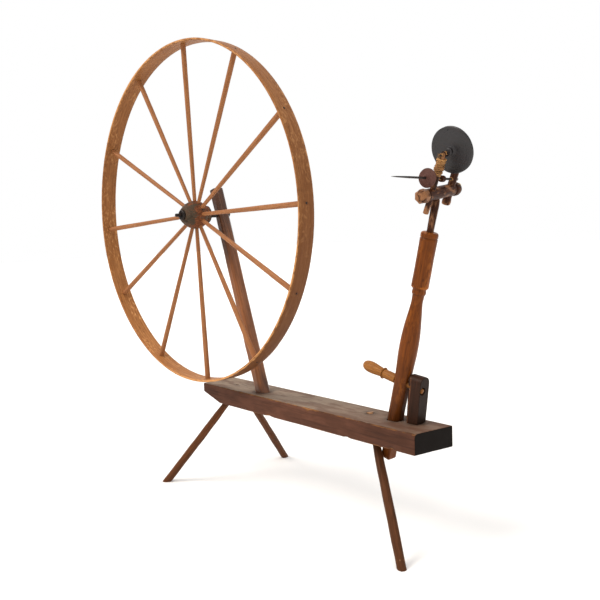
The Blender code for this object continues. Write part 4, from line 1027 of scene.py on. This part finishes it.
# ---- the head ----
def make_stock():
    end, back = -0.087, 0.0935
    profile = [(end, 0.0118), (end + 0.0030, 0.0142), (end + 0.0090, 0.0185), (end + 0.0235, 0.0190),
               (end + 0.0268, 0.0184), (end + 0.0285, 0.0152), (end + 0.0305, 0.0148), (end + 0.0330, 0.0162),
               (0.030, 0.0168), (back - 0.0235, 0.0163), (back - 0.0215, 0.0149), (back - 0.0195, 0.0149),
               (back - 0.0180, 0.0176), (back - 0.0150, 0.0183), (back - 0.0060, 0.0186), (back - 0.0015, 0.0174),
               (back, 0.0155)]

    def outline(height, angle):
        share = max(0.0, min(1.0, (end + 0.030 - height) / 0.006))
        return 1 + share * (facets(7, 1.0, 0.3)(height, angle) - 1) * 1.3 + share * 0.03

    mesh = as_mesh(shaft(dense(profile, 0.0025), outline, 64, 0.0006, 31), "stock")
    finish_piece(mesh, "head_stock_bar", "head", ["head_stock"], HEAD_MAPLE, HEAD @ ALONG_Y,
                 (0.02, 0.01), 31, sharp=32, marks={"wear_and_highlight": lambda p: (0.72 if p.z < end + 0.028 else 0.34)
                                  + 0.42 * wobble(p.x, p.y, p.z * 0.6, 0.012, 5),
                                  "dirt_and_shade": lambda p: max(0.0, 1 - abs(p.z - end - 0.031) / 0.006) * 0.8
                                  + 1.4 * max(0.0, wobble(p.x, p.y, p.z * 0.4, 0.014, 9) - 0.1)})
    cap = [(back + 0.0003, 0.0150), (back + 0.0006, 0.0160), (back + 0.0022, 0.0163), (back + 0.0040, 0.0150),
           (back + 0.0052, 0.0120), (back + 0.0050, 0.0075), (back + 0.0040, 0.0060), (back + 0.0036, 0.0020)]
    turned_piece("stock_end_cap", cap, "head", ["stock_cap"], IRON, HEAD @ ALONG_Y, 0.0015, 40, 0.0004, 32)
    # A pale patch on the cap's upper edge: a painted highlight for the cap's glint.
    shape = bmesh.new()
    bmesh.ops.create_uvsphere(shape, u_segments=14, v_segments=9, radius=1.0,
                              matrix=shifted(0, 0.0149, back + 0.0016) @ Matrix.Diagonal((0.0058, 0.0022, 0.0036, 1)))
    finish_piece(as_mesh(shape, "cap_glint_patch"), "painted_glint_patch", "head", [], CAP_GLINT_WOOD,
                 HEAD @ ALONG_Y @ turned_by(200, "Z"), (0.01, 0.0), 33)


def make_stem():
    shoulder = STOCK_HEIGHT - 0.0190
    low = POST_TOP - 0.055
    profile = [(low, 0.0090), (low + 0.002, 0.0095), (POST_TOP + 0.010, 0.0094), (POST_TOP + 0.05, 0.0101),
               (shoulder - 0.012, 0.0108), (shoulder, 0.0104), (shoulder + 0.010, 0.0070)]
    turned_piece("head_stem_bar", profile, "head", ["head_stem"], HEAD_MAPLE, POST, 0.004, 36, 0.0006, 34,
                 outline=facets(10, 0.7),
                 marks={"wear_and_highlight": lambda p: 0.34 + 0.4 * wobble(p.x, p.y, p.z * 0.4, 0.014, 7),
                        "dirt_and_shade": lambda p: 1.2 * max(0.0, wobble(p.x, p.y, p.z * 0.3, 0.010, 4) - 0.15)})


def make_uprights():
    front = [(-0.0530, 0.0066), (-0.0515, 0.0076), (-0.02, 0.0078), (0.055, 0.0080), (0.100, 0.0076), (0.1095, 0.0068),
             (0.1125, 0.0048), (0.1130, 0.0020)]
    back = [(-0.0400, 0.0102), (-0.0380, 0.0116), (-0.0310, 0.0124), (-0.0215, 0.0108), (-0.0165, 0.0106),
            (0.125, 0.0104), (0.1325, 0.0100), (0.1362, 0.0074), (0.1370, 0.0030)]
    for name, node_name, at, profile, seed in (("front_maiden", "front_upright", FRONT_AT, front, 41),
                                               ("back_maiden", "back_upright", BACK_AT, back, 42)):
        place = HEAD @ shifted(0, at)
        mesh = as_mesh(shaft(dense(profile, 0.003), facets(9, 0.75, 0.4), 36, 0.0006, seed), name)
        bushes = [rod_mesh(BUSH_BORE, -0.03, 0.13, "bush", place.inverted() @ axis) for axis in (SPINDLE, ACCELERATOR)]
        finish_piece(cut(mesh, *bushes), name, "head", [node_name], HEAD_MAPLE, place, (0.02, 0.01), seed,
                     marks={"wear_and_highlight": lambda p: 0.62 * max(0.0, 1 - (p.z + 0.053) / 0.028)
                            + 0.3 + 0.5 * wobble(p.x, p.y, p.z * 0.3, 0.012, 6),
                            "dirt_and_shade": lambda p: max(0.0, (p.z - 0.095) / 0.02)
                            + 1.2 * max(0.0, wobble(p.x, p.y, p.z * 0.4, 0.010, 3) - 0.15)}, sharp=40)


def make_bushes():
    spans = {"spindle": (SPINDLE, shaft_reach(SPINDLE_RISE)),
             "accelerator": (ACCELERATOR, shaft_reach(ACCELERATOR_RISE))}
    for shaft_name, (place, far) in spans.items():
        for end, middle, half in (("front", 0.0, 0.0095), ("back", far, 0.0125)):
            profile = [(middle - half - 0.0008, 0.0038), (middle - half, 0.0049), (middle + half, 0.0050),
                       (middle + half + 0.0008, 0.0038)]
            turned_piece(f"{shaft_name}_husk_{end}", profile, "head", [f"{shaft_name}_bush_{end}"], HUSK,
                         place, 0.002, 20, 0.0004, 44, bore=SHAFT_BORE)


def husk_strip(name, start, lift, radius, width, turns, seed, nodes=()):
    """One strip wound up the front upright; its edges ruffle."""
    sizes = {"Steps a turn": 30, "Turns": abs(turns), "Radius": radius, "Height": lift, "Half width": width}
    mesh = grow(bpy.data.meshes.new(name), spiral_tree("Wound husk", sizes, HUSK, 2.6), HUSK)
    if turns < 0:
        mesh.transform(Matrix.Scale(-1, 4, Vector((1, 0, 0))))
        mesh.flip_normals()
    ruffled = []
    for vertex in mesh.vertices:
        p = vertex.co
        lump = 1 + 0.16 * wobble(p.x, p.y, p.z, 0.006, seed) + 0.10 * wobble(0, 0, p.z, 0.009, seed)
        vertex.co = (p.x * lump, p.y * lump, p.z + 0.0012 * wobble(p.x, p.y, 0, 0.006, seed + 2))
        along = math.atan2(p.y, p.x) * 0.009 + p.z * 0.3
        ruffled.append(Vector((p.z, math.hypot(p.x, p.y), along)) + Vector((seed * 0.01, 0, 0)))
    mesh.attributes.remove(mesh.attributes["grain"])
    store(mesh, "grain", [c for g in ruffled for c in g], "FLOAT_VECTOR")
    store(mesh, "seed", [(seed * 0.29) % 1.0] * len(mesh.vertices))
    finish_piece(mesh, name, "head", nodes, HUSK, HEAD @ shifted(0, FRONT_AT, start), sharp=60)


def make_husk_wrap():
    husk_strip("husk_twist", 0.0530, 0.0410, 0.0091, 0.0030, 9.0, 1, ["husk_wrap"])
    husk_strip("husk_crossing", 0.0560, 0.0340, 0.0100, 0.0028, -4.0, 2)
    husk_strip("husk_knot", 0.0690, 0.0070, 0.0108, 0.0026, 3.0, 3)
    husk_strip("husk_collar", 0.0870, 0.0080, 0.0102, 0.0024, 3.0, 4)


def make_husk_ends():
    """Frayed tips of husk that stick out of the four bearings."""
    random.seed(7)
    far_spindle = shaft_reach(SPINDLE_RISE)
    far_accelerator = shaft_reach(ACCELERATOR_RISE)
    spots = ((SPINDLE, far_spindle + 0.0125, 1, 7), (SPINDLE, 0.0095, 1, 4), (ACCELERATOR, -0.0095, -1, 5),
             (ACCELERATOR, 0.0095, 1, 5), (ACCELERATOR, far_accelerator + 0.0125, 1, 5))
    merged = bmesh.new()
    for place, at, side, count in spots:
        for i in range(count):
            turn = 2 * math.pi * (i + random.random() * 0.6) / count
            length, width = random.uniform(0.0045, 0.0085), random.uniform(0.0008, 0.0014)
            spread_out = random.uniform(0.2, 0.75)
            out = Vector((math.cos(turn), math.sin(turn), 0))
            flat = Vector((-math.sin(turn), math.cos(turn), 0))
            rings = []
            for share in (0.0, 0.25, 0.5, 0.75, 1.0):
                reach = 0.0042 + length * spread_out * share * share
                middle = out * reach + Vector((0, 0, at + side * length * share))
                half, thick = width * (1 - 0.75 * share), 0.00022
                rings.append([place @ (middle + flat * a + out * b) for a, b in
                              ((half, -thick), (half, thick), (-half, thick), (-half, -thick))])
            loose = as_mesh(lofted(rings), "tip")
            merged.from_mesh(loose)
            bpy.data.meshes.remove(loose)
    mesh = bpy.data.meshes.new("husk_tips")
    merged.to_mesh(mesh)
    merged.free()
    finish_piece(mesh, "husk_tips", "head", [], HUSK, None, (0.0, 0.0), 1.0, sharp=60)


def make_spindle():
    front, back = -0.212, 0.120
    profile = [(front, 0.0002), (front + 0.010, 0.0009), (front + 0.030, 0.0018), (front + 0.09, 0.0027),
               (-0.055, 0.0030), (back - 0.014, 0.0030), (back - 0.004, 0.0020), (back, 0.0006)]
    turned_piece("spindle_rod", profile, "spindle", ["spindle"], IRON, SPINDLE, 0.005, 20, 0.0002, 51)
    rear = -0.0126
    stop = [(rear - 0.0420, 0.0050), (rear - 0.0405, 0.0068), (rear - 0.0370, 0.0110), (rear - 0.0345, 0.0200),
            (rear - 0.0328, 0.0238), (rear - 0.0312, 0.0245), (rear - 0.0296, 0.0240), (rear - 0.0270, 0.0205),
            (rear - 0.0200, 0.0135), (rear - 0.0120, 0.0096), (rear - 0.0020, 0.0080), (rear, 0.0072)]
    turned_piece("stop_disc_turned", stop, "spindle", ["stop_disc"], STOP_PAINT, SPINDLE, 0.0015, 56,
                 0.0003, 52, bore=SHAFT_BORE,
                 marks={"wear_and_highlight": lambda p: 0.45 * max(0.0, 1 - abs(math.hypot(p.x, p.y) - 0.0245) / 0.0015)})
    pulley = [(0.0230, 0.0060), (0.0234, 0.0082), (0.0260, 0.0086), (0.0290, 0.0084), (0.0310, 0.0058),
              (0.0330, 0.0084), (0.0360, 0.0086), (0.0386, 0.0082), (0.0390, 0.0060)]
    turned_piece("spindle_whorl", pulley, "spindle", ["spindle_pulley"], HEAD_MAPLE, SPINDLE, 0.0012, 32,
                 0.0002, 53, bore=SHAFT_BORE, marks={"wear_and_highlight": lambda p: 0.2})


def make_accelerator():
    far = shaft_reach(ACCELERATOR_RISE) + 0.019
    profile = [(-0.0120, 0.0018), (-0.0112, 0.0029), (far - 0.001, 0.0030), (far, 0.0020)]
    turned_piece("accelerator_rod", profile, "accelerator", ["accelerator_axle"], IRON, ACCELERATOR, 0.005, 20,
                 0.0002, 61)
    rim, at = 0.0606, 0.0395
    disc = [(at - 0.0100, 0.0070), (at - 0.0098, 0.0098), (at - 0.0084, 0.0120), (at - 0.0078, 0.0150),
            (at - 0.0073, 0.0160), (at - 0.0069, 0.0300), (at - 0.0058, 0.0440), (at - 0.0055, 0.0452),
            (at - 0.0057, 0.0462), (at - 0.0046, 0.0560), (at - 0.0038, 0.0592), (at - 0.0028, rim - 0.0003),
            (at - 0.0019, rim - 0.0005), (at, rim - 0.0026), (at + 0.0019, rim - 0.0005), (at + 0.0028, rim - 0.0003),
            (at + 0.0037, 0.0590), (at + 0.0046, 0.0300), (at + 0.0050, 0.0140), (at + 0.0078, 0.0125),
            (at + 0.0080, 0.0090)]
    mesh = as_mesh(shaft(dense(disc, 0.002), None, 112, 0.0003, 62), "disc")
    holes = [rod_mesh(SHAFT_BORE, at - 0.02, at + 0.02, "bore"),
             rod_mesh(0.0017, at - 0.02, at + 0.02, "peg_hole", turned_by(248, "Z") @ shifted(0.052), 16)]
    finish_piece(cut(mesh, *holes), "accelerator_wheel", "accelerator", ["accelerator_disc"], DISC_PAINT,
                 ACCELERATOR, (0, 0), 2.2, sharp=30, grain=lambda p: Vector((p.z, p.y, p.x)),
                 marks={"wear_and_highlight": lambda p: 0.55 * max(0.0, 1 - (rim - math.hypot(p.x, p.y)) / 0.0015)})
    whorl = [(0.0125, 0.0070), (0.0129, 0.0098), (0.0155, 0.0100), (0.0172, 0.0092), (0.0195, 0.0068), (0.0218, 0.0092),
             (0.0238, 0.0100), (0.0261, 0.0098), (0.0265, 0.0070)]
    turned_piece("accelerator_whorl", whorl, "accelerator", ["accelerator_pulley"], DISC_PAINT,
                 ACCELERATOR, 0.0012, 36, 0.0002, 63, bore=SHAFT_BORE, marks={"wear_and_highlight": lambda p: 0.1})


# ---- camera, floor and light ----
def make_camera():
    """Standing height, to the right of the spinner's place, turned a little out of level."""
    lens = bpy.data.cameras.new("camera")
    lens.lens = 43.48
    lens.sensor_width = 36
    camera = bpy.data.objects.new("camera", lens)
    bpy.context.scene.collection.objects.link(camera)
    yaw, pitch, roll = math.radians(47.01), math.radians(-6.13), math.radians(-2.12)
    forward = Vector((-math.sin(yaw) * math.cos(pitch), math.cos(yaw) * math.cos(pitch), math.sin(pitch)))
    level = Vector((math.cos(yaw), math.sin(yaw), 0))
    up = level.cross(forward)
    right = math.cos(roll) * level + math.sin(roll) * up
    up = -math.sin(roll) * level + math.cos(roll) * up
    turn = Matrix((right, up, -forward)).transposed().to_4x4()
    camera.matrix_world = FRAME @ shifted(2.064, -1.432, 0.922) @ turn
    bpy.context.scene.camera = camera


def soft_sun(name, source, strength, width):
    """A soft box as wide as that many degrees, so far off that it lights the floor evenly."""
    lamp = bpy.data.lights.new(name, "SUN")
    lamp.energy = strength
    lamp.angle = math.radians(width)
    lamp.color = linear("#FFF6EC")[:3]
    made = bpy.data.objects.new(name, lamp)
    bpy.context.scene.collection.objects.link(made)
    made.rotation_euler = (-Vector(source)).to_track_quat("-Z", "Y").to_euler()


def make_stage():
    shape = bmesh.new()
    bmesh.ops.create_grid(shape, x_segments=1, y_segments=1, size=20)
    floor = bpy.data.objects.new("floor", as_mesh(shape, "floor"))
    bpy.context.scene.collection.objects.link(floor)
    paper, tree, shader = new_material("Pale paper")
    feed(tree, shader, {"Base Color": "#F6F6F5", "Roughness": 0.9, "Specular IOR Level": 0.1})
    floor.data.materials.append(paper)
    world = bpy.data.worlds.new("studio")
    bpy.context.scene.world = world
    world.use_nodes = True
    # White paper behind the wheel, and a dim room behind the camera, so that the ends facing right stay dark.
    tree = world.node_tree
    way = node(tree, "ShaderNodeTexCoord").outputs["Generated"]
    facing = node(tree, "ShaderNodeVectorMath", {0: way, 1: (-0.62, 0.56, 0.55)}, operation="DOT_PRODUCT")
    share = node(tree, "ramp", (facing.outputs["Value"], -0.35, 0.6))
    feed(tree, tree.nodes["Background"], {"Color": node(tree, "mix", (share, "#BEBEC0", "#FFFFFF"))})
    soft_sun("key", (-0.35, -0.66, 0.80), 2.0, 28)
    soft_sun("fill", (0.62, -0.30, 0.80), 0.9, 50)
    bpy.context.scene.view_settings.view_transform = "Standard"


make_camera()
make_rim()
make_spokes()
make_nails()
make_hub()
make_axle()
make_bench()
make_legs()
make_wheel_post()
make_block()
make_spindle_post()
make_screw()
make_stock()
make_stem()
make_uprights()
make_bushes()
make_husk_wrap()
make_husk_ends()
make_spindle()
make_accelerator()
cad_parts["post_pivot_pin"].data.materials.clear()
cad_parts["post_pivot_pin"].data.materials.append(IRON)
make_stage()
